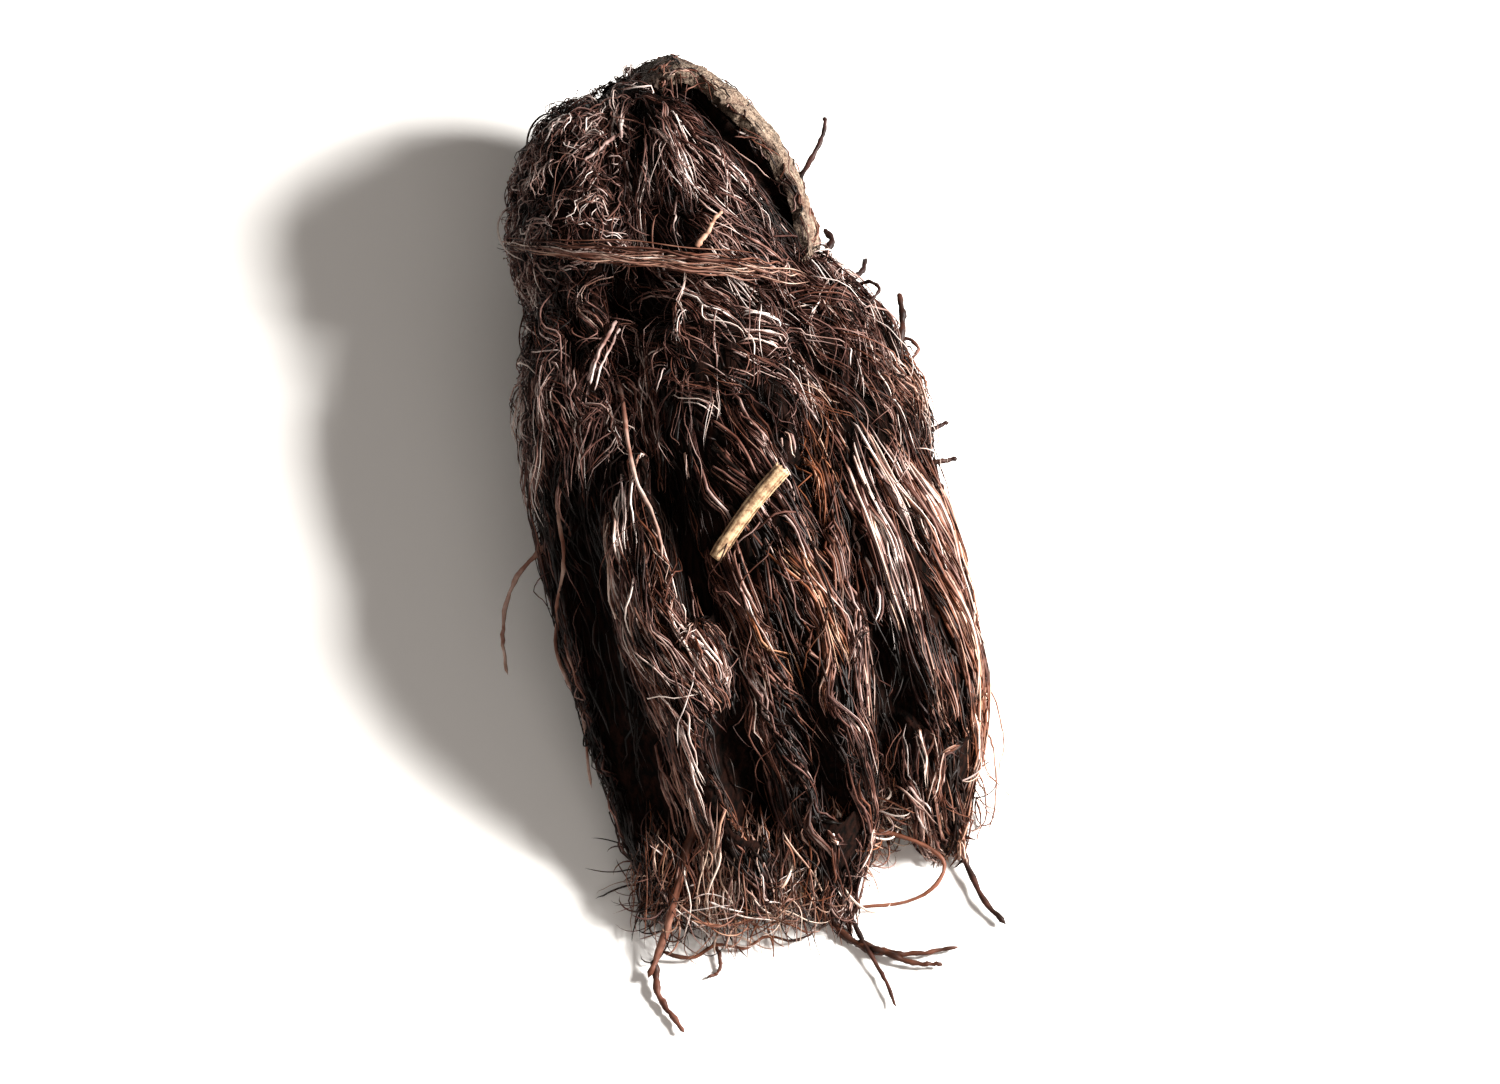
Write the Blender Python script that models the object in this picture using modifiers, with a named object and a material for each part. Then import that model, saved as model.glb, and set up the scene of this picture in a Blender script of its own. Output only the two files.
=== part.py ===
"""A dried jatamansi rootstock, wrapped in the brown fibres of its old leaf bases, as it lies on a table.

Metres, +Z up. The origin is on the flat spot that the root rests on. The crown is at +Y and the frayed
foot at -Y. +X is to the right of someone who stands at the foot.

The rootstock is one solid: two domes for the crown, ridged locks of fibre that run from it to the foot,
and loose strands and rootlets that are sunk into them. The bark sheath, the wisp of long fibres over the
waist and the cut stalk differ in colour, and each is a solid of its own, set in a groove or a socket.
"""

import math

import bmesh
import bpy
import numpy as np
from mathutils import Vector

ROOT_LENGTH = 0.090
# Routes and radii below are in units, on a root that is 90 units from the crown to the foot of its locks.
UNIT = ROOT_LENGTH / 90

# How far a separate piece stands clear of the rootstock that it is set in.
GAP = 0.0003 / UNIT
WELD = 1e-6
SEED = 41

# Each knot of a lock is x, y, z and radius. A lock is one bunch of parallel fibres.
LOCKS = {
    "right": {
        "knots": [(-1, 20, 12, 7.5), (6.5, 8, 12.4, 9.5), (9.2, -3, 12.4, 9.3), (12.4, -14, 11.6, 8.8),
                  (15.4, -24, 10.0, 7.6), (17.4, -31, 7.0, 5.4), (18.4, -37, 3.8, 2.4)],
        "ridges": 15, "stations": 12, "twist": 0.5,
    },
    "centre": {
        "knots": [(-6, 20, 13.5, 8), (-3.5, 8, 15, 10), (-1, -4, 15.5, 10.2), (2.4, -16, 14.2, 9.2),
                  (5.6, -28, 11.6, 7.4), (7.4, -37, 7.4, 5.0), (7.8, -44.4, 3.0, 2.0)],
        "ridges": 15, "stations": 12, "twist": -0.4,
    },
    "left": {
        "knots": [(-13, 20, 11.5, 8.5), (-14, 9, 12, 9), (-13.5, -2, 11.6, 9), (-12.4, -12, 10.8, 8.4),
                  (-11, -22, 9.4, 7.4), (-9.6, -32, 7.2, 5.8), (-8.2, -43, 3.2, 2.2)],
        "ridges": 14, "stations": 12, "twist": 0.3,
    },
    "upper": {
        "knots": [(-9.5, -6, 17.5, 4.4), (-9.2, -15, 18.0, 5.2), (-6.8, -25, 15.6, 5.0),
                  (-3.2, -35, 11.0, 4.2), (0.6, -45, 4.2, 1.6)],
        "ridges": 10, "stations": 10, "twist": 0.6,
    },
    "under": {
        "knots": [(-4, 22, 9, 9.5), (-1, 4, 9, 11.8), (2, -16, 8, 10.8), (4.6, -32, 5.2, 7.2), (5.4, -42, 2.2, 2.4)],
        "ridges": 12, "stations": 9, "twist": 0.0,
    },
}
RIDGE_DEPTH = 0.14

# The crown's domes: centre, half sizes, how far they lean towards -X for each unit towards +Y, and the
# number of ridges that run down from the top.
DOMES = {
    "crown_main": {"centre": (-5.8, 26.8, 13.4), "half": (10.8, 15.7, 13.4), "lean": 0.30, "ridges": 20},
    "crown_left": {"centre": (-15.4, 25.4, 11.3), "half": (8.6, 13.0, 11.8), "lean": 0.0, "ridges": 16},
}
DOME_RINGS = 9
DOME_RIDGE_DEPTH = 0.17

# Strands are three-sided and taper from the root to the tip.
STRAND_RADIUS = 0.52
STRAND_TIP = 0.55
FRINGE_STRANDS = {"right": 16, "centre": 14, "left": 12, "upper": 8, "under": 7}
# How far the fringe passes the foot of its lock, as a share of the lock's length.
FRINGE_REACH = (0.03, 0.11)
LOCK_STRANDS = {"right": 13, "centre": 11, "left": 9, "upper": 6}
# Strands on each dome, and the azimuths in degrees between which they lie.
CROWN_STRANDS = {"crown_main": (20, 146, 392), "crown_left": (9, 120, 300)}
MAT_STRANDS = 28

# Wiry rootlets that stray from the bunch: radius, then the knots from the sunk root to the free tip.
ROOTLETS = {
    "curl": (0.50, [(6, -37, 6), (11.5, -38.6, 4.6), (16.5, -39.6, 3.6), (19, -41.4, 2.6), (18, -43.8, 1.8),
                    (14.5, -45.2, 1.2), (9.5, -45.6, 1.0)]),
    "tail": (0.62, [(16.5, -31, 6), (19.2, -36, 3.2), (21, -40, 1.4), (22.6, -44, 1.0), (25.2, -47.4, 0.8)]),
    "fork_stem": (0.62, [(7, -41, 3.6), (8.2, -47, 1.2), (11.5, -50, 0.9), (14.5, -50.8, 0.9)]),
    "fork_far": (0.50, [(10.5, -49.2, 0.9), (15.5, -50.6, 0.8), (20.6, -49.8, 0.7)]),
    "fork_near": (0.50, [(11.5, -50.0, 0.9), (15.5, -51.6, 0.8), (19.0, -51.9, 0.7)]),
    "spur": (0.82, [(-4.5, -36, 6.5), (-6.6, -43, 3.0), (-8.4, -48.6, 1.3), (-10, -53.4, 1.0)]),
    "spur_tip": (0.58, [(-9.4, -51.6, 1.0), (-8.8, -55.4, 0.8), (-6.4, -59.4, 0.7)]),
    "spur_side": (0.46, [(-8.8, -50.6, 1.1), (-4.0, -50.4, 0.8), (1.5, -49.2, 0.7), (6.4, -48.2, 0.6)]),
    "cross": (0.46, [(8.6, -44, 1.6), (10.8, -48.6, 0.9), (12.8, -52.6, 0.8), (14.4, -56.6, 0.7)]),
    "nape_hook": (0.46, [(3.4, 27, 15), (5.8, 30, 17.5), (7.2, 33.0, 18.4), (7.4, 35.0, 18.6)]),
    "ear_hook": (0.46, [(5.6, 15, 13), (9.4, 18.6, 14), (11.2, 20.4, 13.6), (11.6, 22.2, 12.4)]),
    "shoulder_twig": (0.62, [(12, 5, 15), (14.6, 9, 16), (15.2, 12.6, 16.6), (14.8, 15.4, 17.0)]),
    "side_thorn": (0.46, [(14.5, -1, 13), (17.6, 1.6, 13.6), (19.8, 2.4, 13.6)]),
    "side_leaf": (0.50, [(15.5, -4, 14), (18.6, -2.4, 14.2), (20.6, -2.0, 14.0)]),
    "long_fibre": (0.50, [(-13.5, 6, 18.5), (-12.5, 0, 21.0), (-11.6, -8, 22.4), (-9.6, -14, 23.6), (-8.6, -19, 23.4)]),
    "left_fibre": (0.50, [(-17, -2, 17), (-19.0, -8, 17.4), (-18.2, -14, 15.6), (-19.2, -19, 12.6)]),
    "left_drop": (0.50, [(-17.6, -14, 13), (-19.4, -21, 10), (-16.8, -28, 8.4), (-15.6, -35, 6.0)]),
    "left_hook": (0.46, [(-19.5, -10, 12), (-23.0, -13, 9.5), (-24.4, -17, 6.6), (-24.0, -21, 4.0)]),
}

# The bark sheath wraps the back and the right of the main dome, and ends in a rim below its top. Angles are
# in degrees. It is ribbed from rim to foot, and its two edges rise and fall.
SHEATH_AZIMUTHS = (-34, 128)
SHEATH_MIDDLE_ELEVATIONS = (8, 32)
SHEATH_HALF_HEIGHTS = (5, 28)
SHEATH_STEPS = (26, 5)
SHEATH_THICKNESS = 1.5
SHEATH_STANDOFF = 0.95
SHEATH_RIB = 0.016
SHEATH_RIM_WAVE = 3.5

# The wisp of long fibres over the waist: x, y, z and a factor on its half width.
BAND_KNOTS = [(-24.4, 25.8, 9.0, 0.4), (-22.0, 22.6, 14.6, 0.9), (-15.8, 17.6, 21.6, 1.1), (-8.0, 15.2, 24.4, 1.2),
              (0.0, 13.8, 24.6, 1.1), (5.0, 13.4, 23.2, 0.9), (8.8, 13.4, 21.0, 0.4)]
BAND_HALF_WIDTH = 1.6
BAND_FLATNESS = 0.42
BAND_RIDGES = 9
BAND_RIDGE_DEPTH = 0.3
BAND_STATIONS = 18

# The cut stalk lies on the centre lock with its lower end sunk in it.
STALK_ROOT = (-3.4, -17.4, 21.0)
STALK_END = (3.3, -10.4, 26.6)
STALK_RADIUS = 0.85
STALK_WALL = 0.32
STALK_BORE_DEPTH = 1.2


def clear_scene():
    """Removes whatever the file opened with."""
    for item in list(bpy.data.objects):
        bpy.data.objects.remove(item, do_unlink=True)


def new_collection(name, shown=True):
    """A collection in the scene, hidden from renders where it only holds helpers."""
    collection = bpy.data.collections.new(name)
    bpy.context.scene.collection.children.link(collection)
    collection.hide_render = not shown
    return collection


def make_material(name, colour, roughness):
    """A matt plant material."""
    material = bpy.data.materials.new(name)
    material.use_nodes = True
    shader = material.node_tree.nodes["Principled BSDF"]
    shader.inputs["Base Color"].default_value = (*colour, 1.0)
    shader.inputs["Roughness"].default_value = roughness
    shader.inputs["Metallic"].default_value = 0.0
    return material


def smooth_route(knots, count):
    """Rows at equal steps along a Catmull-Rom curve through the knots, in any number of columns."""
    knots = np.asarray(knots, float)
    padded = np.vstack([2 * knots[0] - knots[1], knots, 2 * knots[-1] - knots[-2]])
    spans = len(knots) - 1
    rows = []
    for at in np.linspace(0, spans, count):
        first = min(int(at), spans - 1)
        t = at - first
        a, b, c, d = padded[first:first + 4]
        rows.append(0.5 * (2 * b + (c - a) * t + (2 * a - 5 * b + 4 * c - d) * t**2 + (3 * b - a - 3 * c + d) * t**3))
    return np.array(rows)


def closed_outline(name, points, helpers):
    """A flat closed curve for a sweep to carry as its section."""
    curve = bpy.data.curves.new(name, "CURVE")
    curve.dimensions = "2D"
    curve.fill_mode = "NONE"
    spline = curve.splines.new("POLY")
    spline.points.add(len(points) - 1)
    for point, (x, y) in zip(spline.points, points):
        point.co = (x, y, 0.0, 1.0)
    spline.use_cyclic_u = True
    section = bpy.data.objects.new(name, curve)
    section.hide_render = True
    helpers.objects.link(section)
    return section


def ridged_outline(ridges, depth, flatness=1.0, grow=0.0, draws=None):
    """Points of a round or flat section whose rim rises and falls once for each ridge."""
    points = []
    for step in range(2 * ridges):
        angle = math.pi * step / ridges
        fall = depth if step % 2 else 0.0
        uneven = 1.0 if draws is None else 1.0 - 0.5 * depth * draws.random()
        radius = (1.0 - fall) * uneven
        points.append(((radius + grow) * math.cos(angle), (radius * flatness + grow) * math.sin(angle)))
    return points


def swept(name, rows, section, collection, twist=0.0, upright=False):
    """A mesh object swept along rows of x, y, z and radius, in units, with closed ends."""
    curve = bpy.data.curves.new(name, "CURVE")
    curve.dimensions = "3D"
    curve.twist_mode = "Z_UP" if upright else "MINIMUM"
    curve.bevel_mode = "OBJECT"
    curve.bevel_object = section
    curve.use_fill_caps = True
    spline = curve.splines.new("POLY")
    spline.points.add(len(rows) - 1)
    for index, (point, (x, y, z, radius)) in enumerate(zip(spline.points, rows)):
        point.co = (x * UNIT, y * UNIT, z * UNIT, 1.0)
        point.radius = radius * UNIT
        point.tilt = twist * index / (len(rows) - 1)
    route = bpy.data.objects.new(name + "_route", curve)
    bpy.context.scene.collection.objects.link(route)
    graph = bpy.context.evaluated_depsgraph_get()
    mesh = bpy.data.meshes.new_from_object(route.evaluated_get(graph))
    bpy.data.objects.remove(route)
    weld(mesh)
    solid = bpy.data.objects.new(name, mesh)
    collection.objects.link(solid)
    return solid


def weld(mesh):
    """Joins a sweep's caps to its sides and turns every face outwards."""
    bm = bmesh.new()
    bm.from_mesh(mesh)
    bmesh.ops.remove_doubles(bm, verts=bm.verts, dist=WELD)
    bmesh.ops.recalc_face_normals(bm, faces=bm.faces)
    bm.to_mesh(mesh)
    bm.free()


def lock_rows(lock, count):
    """Rows of x, y, z and radius along a lock, from the crown to the foot."""
    return smooth_route(LOCKS[lock]["knots"], count)


def lock_point(lock, along, angle, lift):
    """A point at a share of a lock's length, at an angle round it from +X through +Z, lifted off its skin.

    Past the foot, where the share is over 1, the point goes on in the lock's last direction.
    """
    rows = lock_rows(lock, 41)
    at = min(max(along, 0.0), 1.0) * (len(rows) - 1)
    first = min(int(at), len(rows) - 2)
    row = rows[first] + (rows[first + 1] - rows[first]) * (at - first)
    course = Vector(rows[first + 1][:3] - rows[first][:3]).normalized()
    side = course.cross(Vector((0, 0, 1))).normalized()
    if side.x < 0:
        side = -side
    up = side.cross(course) if side.cross(course).z > 0 else course.cross(side)
    length = float(np.linalg.norm(np.diff(rows[:, :3], axis=0), axis=1).sum())
    centre = Vector(row[:3]) + course * max(along - 1.0, 0.0) * length
    return centre + (side * math.cos(angle) + up * math.sin(angle)) * (row[3] + lift)


def dome_point(dome, azimuth, polar, lift):
    """A point on a dome, by its angle round the top and its angle down from the top, in radians."""
    out = (math.sin(polar) * math.cos(azimuth), math.sin(polar) * math.sin(azimuth), math.cos(polar))
    return placed_on(dome, [(h + lift) * o for h, o in zip(DOMES[dome]["half"], out)])


def placed_on(dome, offset):
    """The point at an offset from a dome's centre, carried sideways by the dome's lean."""
    x, y, z = offset
    return Vector(DOMES[dome]["centre"]) + Vector((x - DOMES[dome]["lean"] * y, y, z))


def strand(points, section, collection, radius=STRAND_RADIUS, tip=STRAND_TIP, steps=5):
    """One thin fibre through a few points, thinner towards its tip, never lower than the table."""
    rows = []
    for share, row in zip(np.linspace(0, 1, steps), smooth_route(points, steps)):
        thickness = radius * (1 - (1 - tip) * share)
        rows.append((row[0], row[1], max(row[2], thickness + 0.06), thickness))
    return swept("strand", rows, section, collection)


def add_fringe(section, collection):
    """Strands that leave each lock near its foot and fray out over the table."""
    for index, (lock, count) in enumerate(FRINGE_STRANDS.items()):
        draws = np.random.default_rng(SEED + index)
        for number in range(count):
            angle = math.radians(-40 + 260 * (number + 0.5 + 0.4 * draws.uniform(-1, 1)) / count)
            start = draws.uniform(0.72, 0.86)
            reach = draws.uniform(*FRINGE_REACH)
            sway = draws.uniform(-0.35, 0.35)
            points = [
                lock_point(lock, start, angle, -1.1),
                lock_point(lock, (start + 1) / 2, angle + sway / 3, 0.7),
                lock_point(lock, 1.0, angle + sway, 0.9),
                lock_point(lock, 1.0 + reach, angle + 1.6 * sway, draws.uniform(-1.0, 1.8)),
            ]
            strand(points, section, collection)


def add_lock_strands(section, collection):
    """Strands that lift a little off the locks on their upper sides and run with them."""
    for index, (lock, count) in enumerate(LOCK_STRANDS.items()):
        draws = np.random.default_rng(SEED + 10 + index)
        for number in range(count):
            angle = math.radians(5 + 170 * (number + 0.5 + 0.4 * draws.uniform(-1, 1)) / count)
            start = draws.uniform(0.16, 0.6)
            length = draws.uniform(0.16, 0.30)
            sway = draws.uniform(-0.25, 0.25)
            lifts = (-1.2, 0.75, 1.1, draws.uniform(0.2, 1.5))
            points = [
                lock_point(lock, start + length * share, angle + sway * share, lift)
                for share, lift in zip((0.0, 0.3, 0.7, 1.0), lifts)
            ]
            strand(points, section, collection)


def add_crown_strands(section, collection):
    """Strands that lie down the domes from their tops, with the tips standing off."""
    for index, (dome, (count, first, last)) in enumerate(CROWN_STRANDS.items()):
        draws = np.random.default_rng(SEED + 20 + index)
        for number in range(count):
            azimuth = math.radians(first + (last - first) * (number + 0.5 + 0.4 * draws.uniform(-1, 1)) / count)
            top = math.radians(draws.uniform(8, 62))
            drop = math.radians(draws.uniform(24, 42))
            sway = draws.uniform(-0.2, 0.2)
            lifts = (-1.0, 0.7, 0.9, draws.uniform(0.4, 1.5))
            points = [
                dome_point(dome, azimuth + sway * share, top + drop * share, lift)
                for share, lift in zip((0.0, 0.3, 0.7, 1.0), lifts)
            ]
            strand(points, section, collection)


def add_mat(section, collection):
    """Short tangled strands that cross the shoulders in every direction, with both ends sunk."""
    draws = np.random.default_rng(SEED + 30)
    for number in range(MAT_STRANDS):
        lock = ("right", "centre", "left")[number % 3]
        along = draws.uniform(0.10, 0.42)
        angle = math.radians(draws.uniform(20, 160))
        turn = draws.uniform(-0.7, 0.7)
        run = draws.uniform(-0.09, 0.14)
        points = [
            lock_point(lock, along + run * share, angle + turn * share, lift)
            for share, lift in zip((0.0, 0.3, 0.7, 1.0), (-1.3, 1.2, 1.4, -0.4))
        ]
        strand(points, section, collection, tip=0.75)


def add_rootlets(section, collection):
    """The stray rootlets that give the bunch its outline."""
    for radius, knots in ROOTLETS.values():
        strand(knots, section, collection, radius=radius, tip=0.6, steps=2 * len(knots) - 1)


def ridged_dome(name, collection):
    """A dome of the crown, its skin ridged from the top down."""
    dome = DOMES[name]
    draws = np.random.default_rng(SEED + dome["ridges"])
    bm = bmesh.new()
    bmesh.ops.create_uvsphere(bm, u_segments=2 * dome["ridges"], v_segments=DOME_RINGS, radius=1.0)
    unevenness = draws.uniform(0.4, 1.0, 2 * dome["ridges"])
    for vert in bm.verts:
        azimuth = math.atan2(vert.co.y, vert.co.x)
        column = round(azimuth * dome["ridges"] / math.pi) % (2 * dome["ridges"])
        level = math.hypot(vert.co.x, vert.co.y)
        fall = DOME_RIDGE_DEPTH * unevenness[column] * level if column % 2 else 0.0
        vert.co = placed_on(name, [h * (1 - fall) * o for h, o in zip(dome["half"], vert.co)]) * UNIT
    return object_of(name, bm, collection)


def object_of(name, bm, collection):
    """A mesh object that holds this bmesh."""
    mesh = bpy.data.meshes.new(name)
    bm.to_mesh(mesh)
    bm.free()
    made = bpy.data.objects.new(name, mesh)
    collection.objects.link(made)
    return made


def apply_boolean(target, operation, other=None, collection=None):
    """Joins or cuts a mesh object, and keeps the result as its mesh. MANIFOLD, as EXACT is slow on this many."""
    modifier = target.modifiers.new(operation.title(), "BOOLEAN")
    modifier.operation = operation
    modifier.solver = "MANIFOLD"
    if collection is not None:
        modifier.operand_type = "COLLECTION"
        modifier.collection = collection
    else:
        modifier.object = other
    bpy.context.view_layer.update()
    graph = bpy.context.evaluated_depsgraph_get()
    target.data = bpy.data.meshes.new_from_object(target.evaluated_get(graph))
    target.modifiers.clear()


def keep_main_shell(target):
    """Drops the loose scraps and sealed hollows that fusing and cutting leave."""
    bm = bmesh.new()
    bm.from_mesh(target.data)
    bmesh.ops.remove_doubles(bm, verts=bm.verts, dist=WELD)
    seen, shells = set(), []
    for start in bm.verts:
        if start in seen:
            continue
        shell, queue = {start}, [start]
        while queue:
            for edge in queue.pop().link_edges:
                for vert in edge.verts:
                    if vert not in shell:
                        shell.add(vert)
                        queue.append(vert)
        seen |= shell
        shells.append(shell)
    main = max(shells, key=len)
    bmesh.ops.delete(bm, geom=[vert for vert in bm.verts if vert not in main], context="VERTS")
    bm.to_mesh(target.data)
    bm.free()


def empty_out(collection):
    """Removes a collection's objects once they are joined into another."""
    for item in list(collection.objects):
        bpy.data.objects.remove(item, do_unlink=True)


def sheath_shape(name, collection, gap):
    """The curved plate of bark on the main dome. The gap grows it on every side, for the groove it lies in."""
    bm = bmesh.new()
    columns, rows = SHEATH_STEPS
    bmesh.ops.create_grid(bm, x_segments=columns, y_segments=rows, size=0.5)
    centre, half = DOMES["crown_main"]["centre"], DOMES["crown_main"]["half"]
    margin = math.degrees(gap / min(half))
    for vert in bm.verts:
        across, up = vert.co.x + 0.5, vert.co.y + 0.5
        azimuth = SHEATH_AZIMUTHS[0] - margin + (SHEATH_AZIMUTHS[1] - SHEATH_AZIMUTHS[0] + 2 * margin) * across
        middle = SHEATH_MIDDLE_ELEVATIONS[0] + (SHEATH_MIDDLE_ELEVATIONS[1] - SHEATH_MIDDLE_ELEVATIONS[0]) * across
        narrow, wide = SHEATH_HALF_HEIGHTS
        half_height = narrow + (wide - narrow) * math.sin(math.pi * across) ** 0.8 + margin
        elevation = middle + half_height * (2 * up - 1) + SHEATH_RIM_WAVE * math.sin(13 * across + 3 * up)
        a, e = math.radians(azimuth), math.radians(elevation)
        out = (math.cos(a) * math.cos(e), math.sin(a) * math.cos(e), math.sin(e))
        rib = SHEATH_RIB if round(across * columns) % 2 else -SHEATH_RIB
        offset = [(h * (SHEATH_STANDOFF + rib) - gap) * o for h, o in zip(half, out)]
        vert.co = placed_on("crown_main", offset) * UNIT
    bmesh.ops.recalc_face_normals(bm, faces=bm.faces)
    plate = object_of(name, bm, collection)
    face = plate.data.polygons[0]
    outwards = face.normal.dot(face.center - Vector(centre) * UNIT) > 0
    wall = plate.modifiers.new("Wall", "SOLIDIFY")
    wall.thickness = (SHEATH_THICKNESS + 2 * gap) * UNIT
    wall.offset = 1.0 if outwards else -1.0
    return plate


def band_shape(name, collection, helpers, gap):
    """The flat wisp of long fibres over the waist."""
    outline = ridged_outline(BAND_RIDGES, 0.0 if gap else BAND_RIDGE_DEPTH, BAND_FLATNESS, grow=gap / BAND_HALF_WIDTH)
    section = closed_outline(name + "_section", outline, helpers)
    rows = smooth_route(BAND_KNOTS, BAND_STATIONS)
    rows[:, 3] *= BAND_HALF_WIDTH
    if gap:
        ends = [(rows[0], rows[0] - rows[1]), (rows[-1], rows[-1] - rows[-2])]
        first, last = [row[:3] + step[:3] / np.linalg.norm(step[:3]) * gap for row, step in ends]
        rows = np.vstack([[*first, rows[0][3]], rows, [*last, rows[-1][3]]])
    return swept(name, rows, section, collection, upright=True)


def stalk_shape(name, collection, helpers, radius, past=0.0):
    """A straight round stem between the stalk's two ends, carried past both where it is a cutter."""
    outline = [(math.cos(math.tau * step / 12), math.sin(math.tau * step / 12)) for step in range(12)]
    section = closed_outline(name + "_section", outline, helpers)
    root, end = Vector(STALK_ROOT), Vector(STALK_END)
    step = (end - root).normalized() * past
    return swept(name, [(*(root - step), radius), (*(end + step), radius)], section, collection)


def build_rootstock(part, joined, helpers):
    """The crown, its locks of fibre, the loose strands and the rootlets, fused and set flat on the table."""
    rootstock = ridged_dome("crown_main", part)
    rootstock.name = rootstock.data.name = "rootstock"
    ridged_dome("crown_left", joined)
    for index, (name, lock) in enumerate(LOCKS.items()):
        draws = np.random.default_rng(SEED + 40 + index)
        outline = ridged_outline(lock["ridges"], RIDGE_DEPTH, draws=draws)
        section = closed_outline(name + "_section", outline, helpers)
        swept(name, lock_rows(name, lock["stations"]), section, joined, twist=lock["twist"], upright=True)
    corners = [(math.cos(math.tau * corner / 3), math.sin(math.tau * corner / 3)) for corner in range(3)]
    triangle = closed_outline("strand_section", corners, helpers)
    add_fringe(triangle, joined)
    add_lock_strands(triangle, joined)
    add_crown_strands(triangle, joined)
    add_mat(triangle, joined)
    add_rootlets(triangle, joined)
    apply_boolean(rootstock, "UNION", collection=joined)
    empty_out(joined)
    for cutter in (table_cutter(helpers), *groove_cutters(helpers)):
        apply_boolean(rootstock, "DIFFERENCE", other=cutter)
    keep_main_shell(rootstock)
    rootstock.data.materials.append(make_material("root_fibre", (0.16, 0.075, 0.05), 0.72))
    return rootstock


def table_cutter(helpers):
    """A block below the table's surface, which leaves the root a flat spot to rest on."""
    side = 2 * ROOT_LENGTH
    bm = bmesh.new()
    bmesh.ops.create_cube(bm, size=side)
    bmesh.ops.translate(bm, verts=bm.verts, vec=(0, 0, -side / 2))
    cutter = object_of("table_cutter", bm, helpers)
    cutter.hide_render = True
    return cutter


def groove_cutters(helpers):
    """The sheath, the wisp and the stalk, each grown by the gap, to cut the seats that they lie in."""
    cutters = (
        sheath_shape("sheath_groove", helpers, GAP),
        band_shape("band_groove", helpers, helpers, GAP),
        stalk_shape("stalk_socket", helpers, helpers, STALK_RADIUS + GAP, past=GAP),
    )
    for cutter in cutters:
        cutter.hide_render = True
        cutter.display_type = "WIRE"
    return cutters


def build_sheath(part):
    """The tan bark sheath on the crown."""
    sheath = sheath_shape("bark_sheath", part, 0.0)
    sheath.data.materials.append(make_material("bark", (0.34, 0.24, 0.16), 0.85))
    return sheath


def build_band(part, helpers):
    """The red-brown wisp of long fibres over the waist."""
    band = band_shape("fibre_wisp", part, helpers, 0.0)
    band.data.materials.append(make_material("wisp_fibre", (0.30, 0.13, 0.07), 0.6))
    return band


def build_stalk(part, helpers):
    """The pale stub of the flower stalk, with its pith sunk a little at the cut end."""
    stalk = stalk_shape("cut_stalk", part, helpers, STALK_RADIUS)
    course = (Vector(STALK_END) - Vector(STALK_ROOT)).normalized()
    mouth = [Vector(STALK_END) - course * STALK_BORE_DEPTH, Vector(STALK_END) + course]
    outline = [(math.cos(math.tau * step / 8), math.sin(math.tau * step / 8)) for step in range(8)]
    section = closed_outline("pith_section", outline, helpers)
    pith = swept("pith_cutter", [(*point, STALK_RADIUS - STALK_WALL) for point in mouth], section, helpers)
    pith.hide_render = True
    apply_boolean(stalk, "DIFFERENCE", other=pith)
    stalk.data.materials.append(make_material("dry_stalk", (0.62, 0.50, 0.32), 0.7))
    return stalk


def main():
    """Builds the root."""
    clear_scene()
    part = new_collection("jatamansi_root")
    joined = new_collection("joined", shown=False)
    helpers = new_collection("helpers", shown=False)
    build_rootstock(part, joined, helpers)
    build_sheath(part)
    build_band(part, helpers)
    build_stalk(part, helpers)


main()
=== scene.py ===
"""The looks of a dried jatamansi rootstock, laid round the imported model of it.

Lengths are in millimetres in the classes below and turned to metres where a mesh is made. The crown is at
+Y, the frayed foot at -Y, and the root lies on z = 0. The fibres are grown on a core: bunches are seeded
over its skin, run along it the way that the old leaf bases grew, and part into single fibres.
"""

from __future__ import annotations

import logging
import math
from dataclasses import dataclass, field
from enum import Enum
from typing import Any

import bmesh
import bpy
import numpy as np
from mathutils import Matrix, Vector, noise
from mathutils.bvhtree import BVHTree

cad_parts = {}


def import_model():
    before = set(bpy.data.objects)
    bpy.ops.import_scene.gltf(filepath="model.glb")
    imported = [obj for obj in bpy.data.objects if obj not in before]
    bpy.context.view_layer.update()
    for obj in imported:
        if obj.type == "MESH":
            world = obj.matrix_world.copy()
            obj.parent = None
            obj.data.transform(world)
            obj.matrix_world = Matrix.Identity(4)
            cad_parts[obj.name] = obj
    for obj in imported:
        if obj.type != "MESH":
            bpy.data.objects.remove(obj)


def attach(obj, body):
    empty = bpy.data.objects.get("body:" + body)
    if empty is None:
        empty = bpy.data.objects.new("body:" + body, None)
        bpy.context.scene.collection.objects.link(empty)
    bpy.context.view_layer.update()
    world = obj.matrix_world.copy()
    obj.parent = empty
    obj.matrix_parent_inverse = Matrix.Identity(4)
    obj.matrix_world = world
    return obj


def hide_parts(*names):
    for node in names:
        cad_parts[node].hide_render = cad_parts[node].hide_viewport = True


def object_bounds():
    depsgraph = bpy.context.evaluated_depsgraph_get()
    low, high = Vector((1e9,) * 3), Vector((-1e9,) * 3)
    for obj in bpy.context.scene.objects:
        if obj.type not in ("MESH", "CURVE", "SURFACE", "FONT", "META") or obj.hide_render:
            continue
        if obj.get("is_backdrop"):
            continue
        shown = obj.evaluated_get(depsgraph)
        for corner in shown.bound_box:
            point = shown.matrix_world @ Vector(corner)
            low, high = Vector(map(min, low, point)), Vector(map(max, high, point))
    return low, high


LOG = logging.getLogger("jatamansi_root")
MM = 0.001
SEED = 41
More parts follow.
